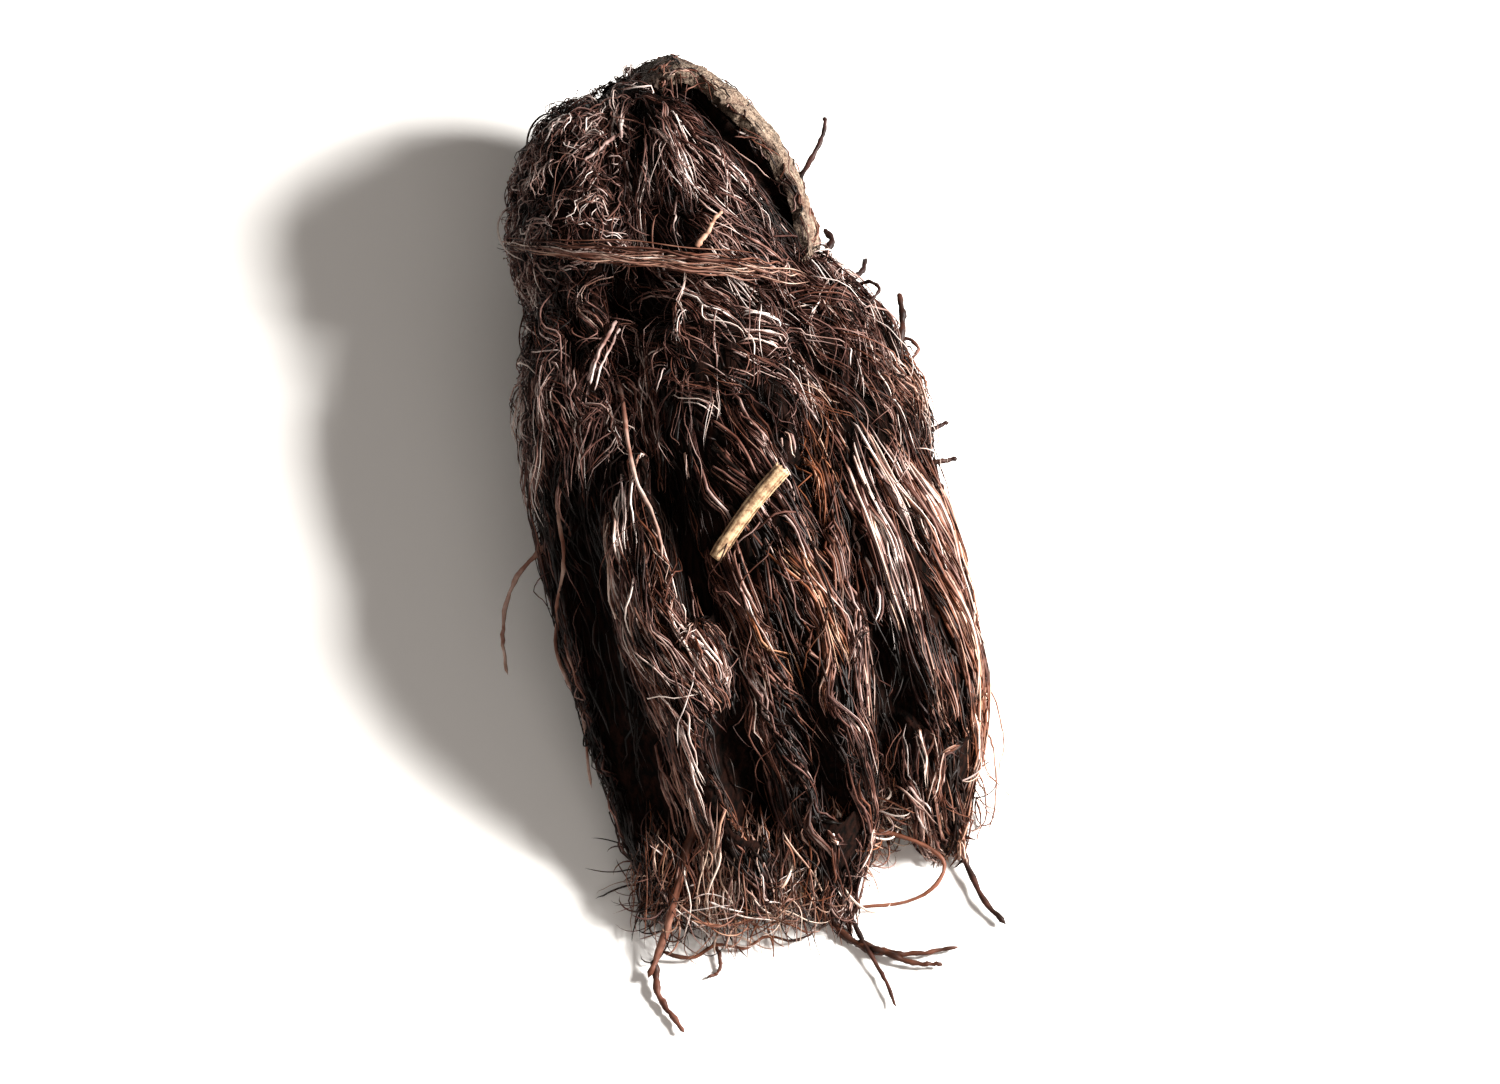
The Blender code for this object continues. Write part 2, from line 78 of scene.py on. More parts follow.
# The photograph looks down at this many degrees, and 0.10 mm of the root fills one pixel of its 1500 across.
CAMERA_ELEVATION = math.radians(60)
FRAME_WIDTH = 150.0
PICTURE_UP = np.array([0.0, math.sin(CAMERA_ELEVATION), math.cos(CAMERA_ELEVATION)])
TO_CAMERA = np.array([0.0, -math.cos(CAMERA_ELEVATION), math.sin(CAMERA_ELEVATION)])
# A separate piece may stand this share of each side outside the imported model's box.
BOX_MARGIN = 0.022
# A fibre that its box would push sideways by more than this is left out. Each clears the table by a little.
SIDE_SLACK = 0.1
TABLE_GAP = 0.02
# A fibre thins towards its tips: it is read between these shares of a sine's arch, times a fullness.
TIPS = (0.08, 0.92)
TIP_FULLNESS = 2.2
# Points this close in a mesh are one.
WELD = 0.001

Array = np.ndarray
Knots = tuple[tuple[float, ...], ...]


class Region(Enum):
    """The parts of the root that grow their fibres in a way of their own."""

    CROWN = "crown"
    LOBE = "lobe"
    SHOULDER = "shoulder"
    RIGHT = "right"
    CENTRE = "centre"
    UPPER = "upper"
    LEFT = "left"
    UNDER = "under"


def linear(code: str) -> tuple[float, float, float, float]:
    """Turns a colour from sRGB hex to linear.

    Args:
        code: six hex digits, with or without a leading #.

    Returns:
        The linear red, green, blue and an alpha of 1.
    """
    digits = code.lstrip("#")
    shares = [int(digits[at:at + 2], 16) / 255 for at in (0, 2, 4)]
    return (*[s / 12.92 if s <= 0.04045 else ((s + 0.055) / 1.055) ** 2.4 for s in shares], 1.0)


def add_node(tree: bpy.types.NodeTree, kind: str, settings: dict[str, Any] | None = None,
             inputs: dict[str | int, Any] | None = None) -> bpy.types.Node:
    """Adds a node with its settings and links.

    Args:
        tree: the material's node tree.
        kind: the node's type name, without the leading ShaderNode.
        settings: properties of the node. "stops" holds a colour ramp's places and hex colours.
        inputs: a value for each input, or the output socket to link to it.

    Returns:
        The new node.
    """
    node = tree.nodes.new("ShaderNode" + kind)
    for key, value in (settings or {}).items():
        if key == "stops":
            while len(node.color_ramp.elements) < len(value):
                node.color_ramp.elements.new(1.0)
            for element, (place, code) in zip(node.color_ramp.elements, value):
                element.position = place
                element.color = linear(code)
        else:
            setattr(node, key, value)
    for key, value in (inputs or {}).items():
        if isinstance(value, bpy.types.NodeSocket):
            tree.links.new(value, node.inputs[key])
        else:
            node.inputs[key].default_value = value
    return node


def new_material(name: str) -> tuple[bpy.types.Material, bpy.types.NodeTree, bpy.types.Node]:
    """Makes a material, and returns it with its node tree and its shader node."""
    made = bpy.data.materials.new(name)
    made.use_nodes = True
    return made, made.node_tree, made.node_tree.nodes["Principled BSDF"]


def unit(rows: Array) -> Array:
    """Scales each row of the last axis to a length of 1."""
    return rows / np.maximum(np.linalg.norm(rows, axis=-1, keepdims=True), 1e-9)


def smooth_route(knots: Any, count: int) -> Array:
    """Reads equal steps along a Catmull-Rom curve.

    Args:
        knots: rows of any number of columns that the curve goes through.
        count: how many rows to read.

    Returns:
        An array of count rows.
    """
    knots = np.asarray(knots, float)
    padded = np.vstack([2 * knots[0] - knots[1], knots, 2 * knots[-1] - knots[-2]])
    spans = len(knots) - 1
    at = np.linspace(0, spans, count)
    first = np.minimum(at.astype(int), spans - 1)
    t = (at - first)[:, None]
    a, b, c, d = (padded[first + step] for step in range(4))
    return 0.5 * (2 * b + (c - a) * t + (2 * a - 5 * b + 4 * c - d) * t**2 + (3 * b - a - 3 * c + d) * t**3)


def read_along(rows: Array, at: Array) -> Array:
    """Reads between the points of routes.

    Args:
        rows: routes by points by columns.
        at: routes by places, each a share of the route from 0 to 1.

    Returns:
        Routes by places by columns.
    """
    at = at * (rows.shape[1] - 1)
    first = np.clip(at.astype(int), 0, rows.shape[1] - 2)
    part = (at - first)[..., None]
    owner = np.arange(len(rows))[:, None]
    return rows[owner, first] * (1 - part) + rows[owner, first + 1] * part


def fibre_taper(t: Array) -> Array:
    """Returns a fibre's girth at shares of its length: full, but for about a sixth at either tip."""
    return np.clip(np.sin(math.pi * np.clip(t, *TIPS)) * TIP_FULLNESS, 0, 1)


def link_mesh(name: str, bm: bmesh.types.BMesh, smooth: bool = True) -> bpy.types.Object:
    """Makes a linked object of a bmesh and frees the bmesh.

    Args:
        name: the object's name.
        bm: the mesh, in metres.
        smooth: whether its faces are shaded smooth.

    Returns:
        The object, at the origin.
    """
    mesh = bpy.data.meshes.new(name)
    bm.to_mesh(mesh)
    bm.free()
    if smooth:
        mesh.shade_smooth()
    made = bpy.data.objects.new(name, mesh)
    bpy.context.scene.collection.objects.link(made)
    return made


def outline_object(name: str, points: list[tuple[float, float]]) -> bpy.types.Object:
    """Makes a closed flat curve for sweeps to carry as their section.

    Args:
        name: the curve's name.
        points: its corners, on a section about 1 in radius.

    Returns:
        The curve object, which isn't linked to the scene.
    """
    curve = bpy.data.curves.new(name, "CURVE")
    curve.dimensions = "2D"
    curve.fill_mode = "NONE"
    spline = curve.splines.new("POLY")
    spline.points.add(len(points) - 1)
    for point, (x, y) in zip(spline.points, points):
        point.co = (x, y, 0.0, 1.0)
    spline.use_cyclic_u = True
    return bpy.data.objects.new(name, curve)


def evaluated_mesh(source: bpy.types.Object) -> bpy.types.Mesh:
    """Returns a new mesh of an object with its modifiers or its sweep applied."""
    bpy.context.view_layer.update()
    graph = bpy.context.evaluated_depsgraph_get()
    return bpy.data.meshes.new_from_object(source.evaluated_get(graph))


@dataclass(frozen=True)
class FibreFinish:
    """Dried leaf-base fibre, split by age: a dull dark body with paler, slightly waxy strands that glint."""

    name: str = "dried_leaf_fibre"
    tones: tuple[str, ...] = ("#070301", "#190a07", "#3b221d", "#6a4c45", "#9b857f", "#d0c3bd")
    gold: tuple[str, str, str] = ("#24120a", "#80492c", "#c49a72")
    roughness: float = 0.5
    specular: float = 0.14
    # Blotches of age are about 2.5 mm long, and the grain that breaks up a glint is drawn at 0.12 mm.
    blotch: float = 2.5
    grain: float = 0.12
    # How far a blotch shifts the tone either way, and the shifts at a fibre's root and past its middle.
    blotch_swing: float = 0.18
    root_shift: float = -0.12
    middle_shift: float = 0.04
    bump: float = 0.35
    bump_depth: float = 0.03

    def material(self) -> bpy.types.Material:
        """Builds the material. It reads tone, warmth and along from the fibres' own attributes."""
        made, tree, shader = new_material(self.name)
        coords = add_node(tree, "TexCoord")
        tone = add_node(tree, "Attribute", {"attribute_name": "tone"})
        warmth = add_node(tree, "Attribute", {"attribute_name": "warmth"})
        along = add_node(tree, "Attribute", {"attribute_name": "along"})
        blotches = add_node(tree, "TexNoise", None, {
            "Vector": coords.outputs["Object"], "Scale": 1 / (self.blotch * MM), "Detail": 3.0})
        swing = add_node(tree, "MapRange", None, {
            "Value": blotches.outputs["Fac"], "From Min": 0.3, "From Max": 0.7,
            "To Min": -self.blotch_swing, "To Max": self.blotch_swing})
        ageing = add_node(tree, "MapRange", None, {
            "Value": along.outputs["Fac"], "From Min": 0.0, "From Max": 0.5,
            "To Min": self.root_shift, "To Max": self.middle_shift})
        aged = add_node(tree, "Math", {"operation": "ADD"}, {
            0: tone.outputs["Fac"], 1: swing.outputs["Result"]})
        level = add_node(tree, "Math", {"operation": "ADD", "use_clamp": True}, {
            0: aged.outputs[0], 1: ageing.outputs["Result"]})
        places = np.linspace(0.0, 1.0, len(self.tones))
        brown = add_node(tree, "ValToRGB", {"stops": list(zip(places, self.tones))}, {
            "Fac": level.outputs[0]})
        golden = add_node(tree, "ValToRGB", {"stops": list(zip((0.1, 0.5, 1.0), self.gold))}, {
            "Fac": level.outputs[0]})
        colour = add_node(tree, "Mix", {"data_type": "RGBA"}, {
            0: warmth.outputs["Fac"], 6: brown.outputs["Color"], 7: golden.outputs["Color"]})
        grain = add_node(tree, "TexNoise", None, {
            "Vector": coords.outputs["Object"], "Scale": 1 / (self.grain * MM), "Detail": 2.0})
        bump = add_node(tree, "Bump", None, {
            "Height": grain.outputs["Fac"], "Strength": self.bump, "Distance": self.bump_depth * MM})
        tree.links.new(colour.outputs[2], shader.inputs["Base Color"])
        tree.links.new(bump.outputs["Normal"], shader.inputs["Normal"])
        shader.inputs["Roughness"].default_value = self.roughness
        shader.inputs["Specular IOR Level"].default_value = self.specular
        return made


@dataclass(frozen=True)
class CoreFinish:
    """Packed fibre deep in the bunch: almost black and dull, a painted shade so that the gaps between fibres
    read dark.
    """

    name: str = "packed_fibre_painted_shade"
    # These near-black streak colours are painted shade for the gaps between the fibres.
    dark: str = "#050302"
    light: str = "#1e0e09"
    # The streaks are 0.5 mm wide, and drawn about eight times as long, along +Y, as the fibres run.
    strand: float = 0.5
    squeeze: float = 0.12
    bump: float = 0.9
    bump_depth: float = 0.3
    roughness: float = 0.95
    specular: float = 0.05

    def material(self) -> bpy.types.Material:
        """Builds the material, streaked along the root."""
        made, tree, shader = new_material(self.name)
        coords = add_node(tree, "TexCoord")
        lie = add_node(tree, "Mapping", None, {
            "Vector": coords.outputs["Object"], "Scale": (1.0, self.squeeze, 1.0)})
        streaks = add_node(tree, "TexNoise", None, {
            "Vector": lie.outputs["Vector"], "Scale": 1 / (self.strand * MM), "Detail": 4.0})
        colour = add_node(tree, "ValToRGB", {"stops": [(0.4, self.dark), (0.75, self.light)]}, {
            "Fac": streaks.outputs["Fac"]})
        bump = add_node(tree, "Bump", None, {
            "Height": streaks.outputs["Fac"], "Strength": self.bump, "Distance": self.bump_depth * MM})
        tree.links.new(colour.outputs["Color"], shader.inputs["Base Color"])
        tree.links.new(bump.outputs["Normal"], shader.inputs["Normal"])
        shader.inputs["Roughness"].default_value = self.roughness
        shader.inputs["Specular IOR Level"].default_value = self.specular
        return made


@dataclass(frozen=True)
class BarkFinish:
    """Old skin of the rootstock: tan-grey, dusty and dull, with dark patches and pale specks of soil."""

    name: str = "dry_root_bark"
    pale: str = "#a18e7b"
    body: str = "#6f5c4e"
    dark: str = "#1e120d"
    rust: str = "#5f4033"
    dust: tuple[str, str] = ("#3a2b22", "#b3a08c")
    dustiness: float = 0.35
    speck: float = 0.3
    patch: float = 2.2
    stain: float = 4.0
    # The creases run round the crown: they are 0.8 mm high and five times as long.
    crease: float = 0.8
    crease_squeeze: float = 0.2
    # The skin is darker over this stretch of x, towards its left end over the top of the crown: painted shade
    # on the side away from the key light.
    older: tuple[float, float] = (-9.0, -4.0)
    far_side_shade: float = 0.85
    # It is dark along its torn rim as well, with a ragged border between the two.
    rim_border: tuple[float, float] = (1.17, 1.3)
    rim_shade: float = 0.7
    bump_depth: float = 0.5
    roughness: float = 0.9
    specular: float = 0.2

    def material(self) -> bpy.types.Material:
        """Builds the material on Object coordinates. It reads the plate's rim from its own attribute."""
        made, tree, shader = new_material(self.name)
        coords = add_node(tree, "TexCoord")
        patches = add_node(tree, "TexNoise", None, {
            "Vector": coords.outputs["Object"], "Scale": 1 / (self.patch * MM), "Detail": 8.0,
            "Roughness": 0.7})
        specks = add_node(tree, "TexNoise", None, {
            "Vector": coords.outputs["Object"], "Scale": 1 / (self.speck * MM), "Detail": 3.0})
        stains = add_node(tree, "TexNoise", None, {
            "Vector": coords.outputs["Object"], "Scale": 1 / (self.stain * MM), "Detail": 4.0})
        layers = add_node(tree, "Mapping", None, {
            "Vector": coords.outputs["Object"], "Scale": (self.crease_squeeze, self.crease_squeeze, 1.0)})
        creases = add_node(tree, "TexNoise", None, {
            "Vector": layers.outputs["Vector"], "Scale": 1 / (self.crease * MM), "Detail": 5.0,
            "Roughness": 0.6})
        worn_down = add_node(tree, "Mix", {"data_type": "FLOAT"}, {
            0: 0.5, 2: patches.outputs["Fac"], 3: creases.outputs["Fac"]})
        ground = add_node(tree, "ValToRGB", {
            "stops": [(0.41, self.dark), (0.5, self.body), (0.6, self.pale)]}, {"Fac": worn_down.outputs[0]})
        dusty = add_node(tree, "ValToRGB", {"stops": list(zip((0.42, 0.64), self.dust))}, {
            "Fac": specks.outputs["Fac"]})
        mixed = add_node(tree, "Mix", {"data_type": "RGBA"}, {
            0: self.dustiness, 6: ground.outputs["Color"], 7: dusty.outputs["Color"]})
        rusty = add_node(tree, "MapRange", None, {
            "Value": stains.outputs["Fac"], "From Min": 0.5, "From Max": 0.7, "To Max": 0.6})
        stained = add_node(tree, "Mix", {"data_type": "RGBA"}, {
            0: rusty.outputs["Result"], 6: mixed.outputs[2], 7: linear(self.rust)})
        place = add_node(tree, "SeparateXYZ", None, {"Vector": coords.outputs["Object"]})
        # Painted shade: the bark darkens towards the hood's left end.
        age = add_node(tree, "MapRange", None, {
            "Value": place.outputs["X"], "From Min": self.older[0] * MM, "From Max": self.older[1] * MM,
            "To Min": self.far_side_shade, "To Max": 0.0})
        rim = add_node(tree, "Attribute", {"attribute_name": "rim"})
        ragged = add_node(tree, "Math", {"operation": "MULTIPLY_ADD"}, {
            0: stains.outputs["Fac"], 1: 0.5, 2: rim.outputs["Fac"]})
        torn = add_node(tree, "MapRange", None, {
            "Value": ragged.outputs[0], "From Min": self.rim_border[0], "From Max": self.rim_border[1],
            "To Min": 0.0, "To Max": self.rim_shade})
        worn = add_node(tree, "Math", {"operation": "MAXIMUM"}, {
            0: age.outputs["Result"], 1: torn.outputs["Result"]})
        colour = add_node(tree, "Mix", {"data_type": "RGBA"}, {
            0: worn.outputs[0], 6: stained.outputs[2], 7: linear(self.dark)})
        height = add_node(tree, "Math", {"operation": "ADD"}, {
            0: specks.outputs["Fac"], 1: worn_down.outputs[0]})
        bump = add_node(tree, "Bump", None, {
            "Height": height.outputs[0], "Strength": 1.0, "Distance": self.bump_depth * MM})
        tree.links.new(colour.outputs[2], shader.inputs["Base Color"])
        tree.links.new(bump.outputs["Normal"], shader.inputs["Normal"])
        shader.inputs["Roughness"].default_value = self.roughness
        shader.inputs["Specular IOR Level"].default_value = self.specular
        return made


@dataclass(frozen=True)
class StrawFinish:
    """Dried flower stalk: pale straw with brown fibre lines along it and a soft gloss on its skin."""

    name: str = "dried_straw_stalk"
    pale: str = "#bfa27e"
    body: str = "#826245"
    dark: str = "#352114"
    stain: float = 0.9
    line_weight: float = 0.3
    bump: float = 0.7
    bump_depth: float = 0.1
    roughness: float = 0.6

    def material(self) -> bpy.types.Material:
        """Builds the material. It reads the fibre lines from the stalk's own attribute."""
        made, tree, shader = new_material(self.name)
        lines = add_node(tree, "Attribute", {"attribute_name": "lines"})
        coords = add_node(tree, "TexCoord")
        stains = add_node(tree, "TexNoise", None, {
            "Vector": coords.outputs["Object"], "Scale": 1 / (self.stain * MM), "Detail": 6.0,
            "Roughness": 0.7})
        level = add_node(tree, "Math", {"operation": "MULTIPLY_ADD"}, {
            0: lines.outputs["Fac"], 1: self.line_weight, 2: stains.outputs["Fac"]})
        colour = add_node(tree, "ValToRGB", {
            "stops": [(0.45, self.dark), (0.62, self.body), (0.78, self.pale)]}, {"Fac": level.outputs[0]})
        bump = add_node(tree, "Bump", None, {
            "Height": level.outputs[0], "Strength": self.bump, "Distance": self.bump_depth * MM})
        tree.links.new(colour.outputs["Color"], shader.inputs["Base Color"])
        tree.links.new(bump.outputs["Normal"], shader.inputs["Normal"])
        shader.inputs["Roughness"].default_value = self.roughness
        return made


@dataclass(frozen=True)
class Lock:
    """A lock of parallel fibres: knots of x, y, z and radius from the crown to the foot."""

    region: Region
    knots: Knots
    ridges: int


@dataclass(frozen=True)
class Dome:
    """A lobe of the crown. Its fibres run away from the pole, a direction from its centre."""

    region: Region
    centre: tuple[float, float, float]
    half: tuple[float, float, float]
    lean: float
    pole: tuple[float, float, float]

    def placed(self, offsets: Array) -> Array:
        """Carries offsets from the centre sideways by the lean, and returns the points."""
        moved = np.array(offsets, float)
        moved[..., 0] -= self.lean * moved[..., 1]
        return moved + np.array(self.centre)

    def share(self, points: Array) -> Array:
        """Returns how far out each point is, where 1 is on the skin."""
        offsets = points - np.array(self.centre)
        offsets[:, 0] += self.lean * offsets[:, 1]
        return np.linalg.norm(offsets / np.array(self.half), axis=1)


@dataclass
class RootForm:
    """The core that the fibres grow on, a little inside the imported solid's skin."""

    locks: tuple[Lock, ...] = (
        Lock(Region.RIGHT, ((-1, 20, 12, 7.5), (6.5, 8, 12.4, 9.5), (9.2, -3, 12.4, 9.3),
                            (12.4, -14, 11.6, 8.8), (15.4, -24, 10.0, 7.6), (17.4, -31, 7.0, 5.4),
                            (18.4, -37, 3.8, 2.4)), 15),
        Lock(Region.CENTRE, ((-6, 20, 13.5, 8), (-3.5, 8, 15, 10), (-1, -4, 15.5, 10.2),
                             (2.4, -16, 14.2, 9.2), (5.6, -28, 11.6, 7.4), (7.4, -37, 7.4, 5.0),
                             (7.8, -44.4, 3.0, 2.0)), 15),
        Lock(Region.LEFT, ((-13, 20, 11.5, 8.5), (-14, 9, 12, 9), (-13.5, -2, 11.6, 9),
                           (-12.4, -12, 10.8, 8.4), (-11, -22, 9.4, 7.4), (-9.6, -32, 7.2, 5.8),
                           (-8.2, -43, 3.2, 2.2)), 14),
        Lock(Region.UPPER, ((-9.5, -6, 17.5, 4.4), (-9.2, -15, 18.0, 5.2), (-6.8, -25, 15.6, 5.0),
                            (-3.2, -35, 11.0, 4.2), (0.6, -45, 4.2, 1.6)), 10),
        Lock(Region.UNDER, ((-4, 22, 9, 9.5), (-1, 4, 9, 11.8), (2, -16, 8, 10.8), (4.6, -32, 5.2, 7.2),
                            (5.4, -42, 2.2, 2.4)), 12),
    )
    domes: tuple[Dome, ...] = (
        Dome(Region.CROWN, (-5.8, 26.8, 13.4), (10.8, 15.7, 13.4), 0.30, (-0.32, 0.28, 0.9)),
        Dome(Region.LOBE, (-15.6, 26.0, 11.8), (8.4, 14.3, 12.3), 0.0, (0.25, 0.45, 0.86)),
    )
    # Deep dark gaps between the locks as the camera sees them: from x and height in the picture plane to
    # x and height, half width, and how deep the gap is.
    gaps: tuple[tuple[float, float, float, float, float, float], ...] = (
        (-10.0, 43.0, -6.0, 41.0, 0.9, 1.6), (-6.0, 41.0, -2.0, 37.0, 1.3, 3.0),
        (-2.0, 37.0, 1.5, 32.5, 1.5, 3.4), (1.5, 32.5, 3.8, 29.0, 1.4, 3.2),
        (3.8, 29.0, 5.4, 26.6, 1.1, 2.4), (-11.4, 41.0, -11.2, 35.5, 0.8, 1.2),
        (-9.0, 31.0, -5.5, 29.6, 0.9, 1.2), (-13.0, 21.0, -9.0, 19.5, 1.3, 1.6),
        (-3.0, -21.0, 0.4, -29.5, 2.7, 4.2), (3.0, -9.5, 5.5, -18.0, 1.7, 3.0),
        (5.5, -18.0, 7.8, -28.0, 2.5, 4.4), (15.0, -17.5, 20.0, -20.5, 1.9, 2.4),
        (-8.5, 4.0, -5.5, -9.0, 2.0, 3.0), (4.5, 4.0, 6.5, -3.0, 1.3, 2.2),
        (-17.0, -2.0, -12.5, -27.0, 2.2, 2.2), (-11.5, -22.0, -9.0, -33.0, 1.8, 2.6),
        (-18.0, -24.0, -14.0, -34.0, 2.0, 1.5), (9.8, 1.0, 10.6, -10.0, 0.9, 1.6),
        (12.4, -9.0, 14.6, -25.0, 0.9, 1.5), (-0.5, 12.0, 2.5, 8.5, 1.2, 1.5))
    # The core stays this share of the solid's size, and has ridges that are this share of a lock deep.
    inset: float = 0.94
    ridge_depth: float = 0.12
    voxel: float = 0.6
    # The core's underside is this far above the table, and leaves room for a layer of fibres.
    underside: float = 0.45
    # The locks' upper ends, past this y and above this height, are the shoulder.
    shoulder: float = 1.0
    shoulder_height: float = 9.0
    # Where a dome and a lock lie this close, as a share of their sizes, the skin is the dome's.
    dome_lead: float = 0.04
    # A mark of how the fibres lie counts most within about this distance.
    mark_reach: float = 2.0
    # How the fibres lie as the camera sees them: x, height in the picture plane, and heading in degrees.
    lies: tuple[tuple[float, float, float], ...] = (
        (-8.5, 38.0, -62), (-10.5, 32.0, -88), (-6.5, 32.0, -60), (-2.5, 35.0, -50), (1.5, 31.0, -52),
        (3.5, 27.0, -60), (-2.5, 28.0, -52), (-7.5, 27.5, -40), (-11.5, 27.0, -95), (-7.5, 42.0, -30),
        (-10.5, 41.0, -60), (-4.5, 40.0, -42), (-18.5, 38.0, -120), (-20.5, 32.0, -100), (-16.5, 34.0, -98),
        (-14.5, 28.0, -85), (-14.5, 39.0, -110), (-20.5, 21.0, -50), (-16.5, 14.0, -80), (-10.5, 18.0, -30),
        (-4.5, 16.0, -60), (1.5, 18.0, -38), (7.5, 16.0, -42), (11.5, 13.0, -50), (-10.5, 11.0, -88),
        (-2.5, 9.0, -55), (9.5, 6.0, -72), (15.5, 6.0, -58), (19.5, -4.0, -62), (12.5, -6.0, -72),
        (17.5, -14.0, -70), (22.5, -16.0, -76), (10.5, -14.0, -82), (21.5, -24.0, -88), (16.5, -24.0, -78),
        (-0.5, 2.0, -60), (2.5, -8.0, -62), (6.5, -18.0, -66), (8.5, -27.0, -75), (5.5, -32.0, -80),
        (-11.5, 2.0, -80), (-9.5, -6.0, -86), (-7.5, -14.0, -62), (-3.5, -24.0, -66), (-0.5, -32.0, -72),
        (-20.5, 0.0, -78), (-16.5, -4.0, -70), (-16.5, -14.0, -74), (-13.5, -24.0, -70))
    tree: BVHTree = field(init=False, default=None)

    def build(self) -> bpy.types.Object:
        """Sweeps the locks, adds the domes, remeshes them as one skin and sinks the gaps.

        Returns:
            The core's object.
        """
        bm = bmesh.new()
        for lock in self.locks:
            mesh = self._swept(lock)
            bm.from_mesh(mesh)
            bpy.data.meshes.remove(mesh)
        for dome in self.domes:
            ball = bmesh.new()
            bmesh.ops.create_uvsphere(ball, u_segments=48, v_segments=24, radius=1.0)
            for vert in ball.verts:
                offset = np.array(vert.co) * np.array(dome.half) * self.inset
                vert.co = Vector(dome.placed(offset)) * MM
            mesh = bpy.data.meshes.new("dome")
            ball.to_mesh(mesh)
            ball.free()
            bm.from_mesh(mesh)
            bpy.data.meshes.remove(mesh)
        core = link_mesh("fibre_core", bm)
        remesh = core.modifiers.new("Skin", "REMESH")
        remesh.mode = "VOXEL"
        remesh.voxel_size = self.voxel * MM
        smoothing = core.modifiers.new("Soften", "SMOOTH")
        smoothing.factor = 0.5
        smoothing.iterations = 2
        core.data = evaluated_mesh(core)
        core.modifiers.clear()
        self._sink(core.data)
        core.data.shade_smooth()
        core.data.materials.append(CoreFinish().material())
        bm = bmesh.new()
        bm.from_mesh(core.data)
        self.tree = BVHTree.FromBMesh(bm)
        bm.free()
        return core

    def _swept(self, lock: Lock) -> bpy.types.Mesh:
        """Sweeps one lock's ridged section along its route and returns the closed mesh."""
        draws = np.random.default_rng(SEED + lock.ridges)
        corners = []
        for step in range(2 * lock.ridges):
            angle = math.pi * step / lock.ridges
            radius = 1.0 - (self.ridge_depth if step % 2 else 0.0) * draws.uniform(0.5, 1.5)
            corners.append((radius * math.cos(angle), radius * math.sin(angle)))
        section = outline_object("lock_section", corners)
        curve = bpy.data.curves.new("lock", "CURVE")
        curve.dimensions = "3D"
        curve.twist_mode = "Z_UP"
        curve.bevel_mode = "OBJECT"
        curve.bevel_object = section
        curve.use_fill_caps = True
        rows = smooth_route(lock.knots, 28)
        spline = curve.splines.new("POLY")
        spline.points.add(len(rows) - 1)
        for point, (x, y, z, radius) in zip(spline.points, rows * MM):
            point.co = (x, y, z, 1.0)
            point.radius = radius * self.inset
        route = bpy.data.objects.new("lock_route", curve)
        bpy.context.scene.collection.objects.link(route)
        mesh = evaluated_mesh(route)
        bpy.data.objects.remove(route)
        bpy.data.objects.remove(section)
        bm = bmesh.new()
        bm.from_mesh(mesh)
        bmesh.ops.remove_doubles(bm, verts=bm.verts, dist=WELD * MM)
        bmesh.ops.recalc_face_normals(bm, faces=bm.faces)
        bm.to_mesh(mesh)
        bm.free()
        return mesh

    def _sink(self, mesh: bpy.types.Mesh) -> None:
        """Presses the gaps into the top of the skin and flattens its underside."""
        co = np.empty(len(mesh.vertices) * 3)
        mesh.vertices.foreach_get("co", co)
        rows = co.reshape(-1, 3) / MM
        normals = np.empty(len(mesh.vertices) * 3)
        mesh.vertices.foreach_get("normal", normals)
        faces_up = np.clip(normals.reshape(-1, 3)[:, 2] * 2, 0, 1)
        sunk = np.zeros(len(rows))
        for gap, share in zip(self.gaps, self.gap_share(rows)):
            sunk = np.maximum(sunk, gap[5] * share)
        rows[:, 2] = np.maximum(rows[:, 2] - sunk * faces_up, self.underside)
        mesh.vertices.foreach_set("co", (rows * MM).ravel())
        mesh.update()

    def gap_share(self, points: Array) -> list[Array]:
        """Returns, for each gap, how deep in it every point is, from 0 outside to 1 along its middle."""
        seen = np.stack([points[:, 0], points @ PICTURE_UP], axis=1)
        shares = []
        for x, level, to_x, to_level, half_width, _ in self.gaps:
            start, run = np.array((x, level)), np.array((to_x - x, to_level - level))
            along = np.clip((seen - start) @ run / (run @ run), 0, 1)[:, None]
            far = np.linalg.norm(seen - start - along * run, axis=1) / half_width
            shares.append(np.clip(1 - far**2, 0, 1) ** 0.5)
        return shares

    def lie(self, points: Array, normals: Array) -> tuple[Array, Array]:
        """Reads the marks of how the fibres lie, as directions along the skin.

        Args:
            points: rows of x, y and z.
            normals: the skin's normals there.

        Returns:
            Rows of unit directions, and how far each is to be followed, from 0 where the skin faces away
            from the camera to 1 where it faces it.
        """
        marks = np.array(self.lies)
        far = (points[:, None, 0] - marks[:, 0]) ** 2 + ((points @ PICTURE_UP)[:, None] - marks[:, 1]) ** 2
        weight = 1 / (far + self.mark_reach**2) ** 2
        angle = np.radians(marks[:, 2])
        turns = (np.cos(angle), np.sin(angle))
        flat = unit(np.stack([(weight * turn).sum(axis=1) for turn in turns], axis=1))
        facing = normals @ TO_CAMERA
        slope = flat[:, 0] * normals[:, 0] + flat[:, 1] * (normals @ PICTURE_UP)
        slope = -slope / np.maximum(facing, 0.3)
        course = flat[:, :1] * [1.0, 0.0, 0.0] + flat[:, 1:] * PICTURE_UP + slope[:, None] * TO_CAMERA
        return unit(course), np.clip((facing - 0.1) / 0.3, 0, 1)[:, None]

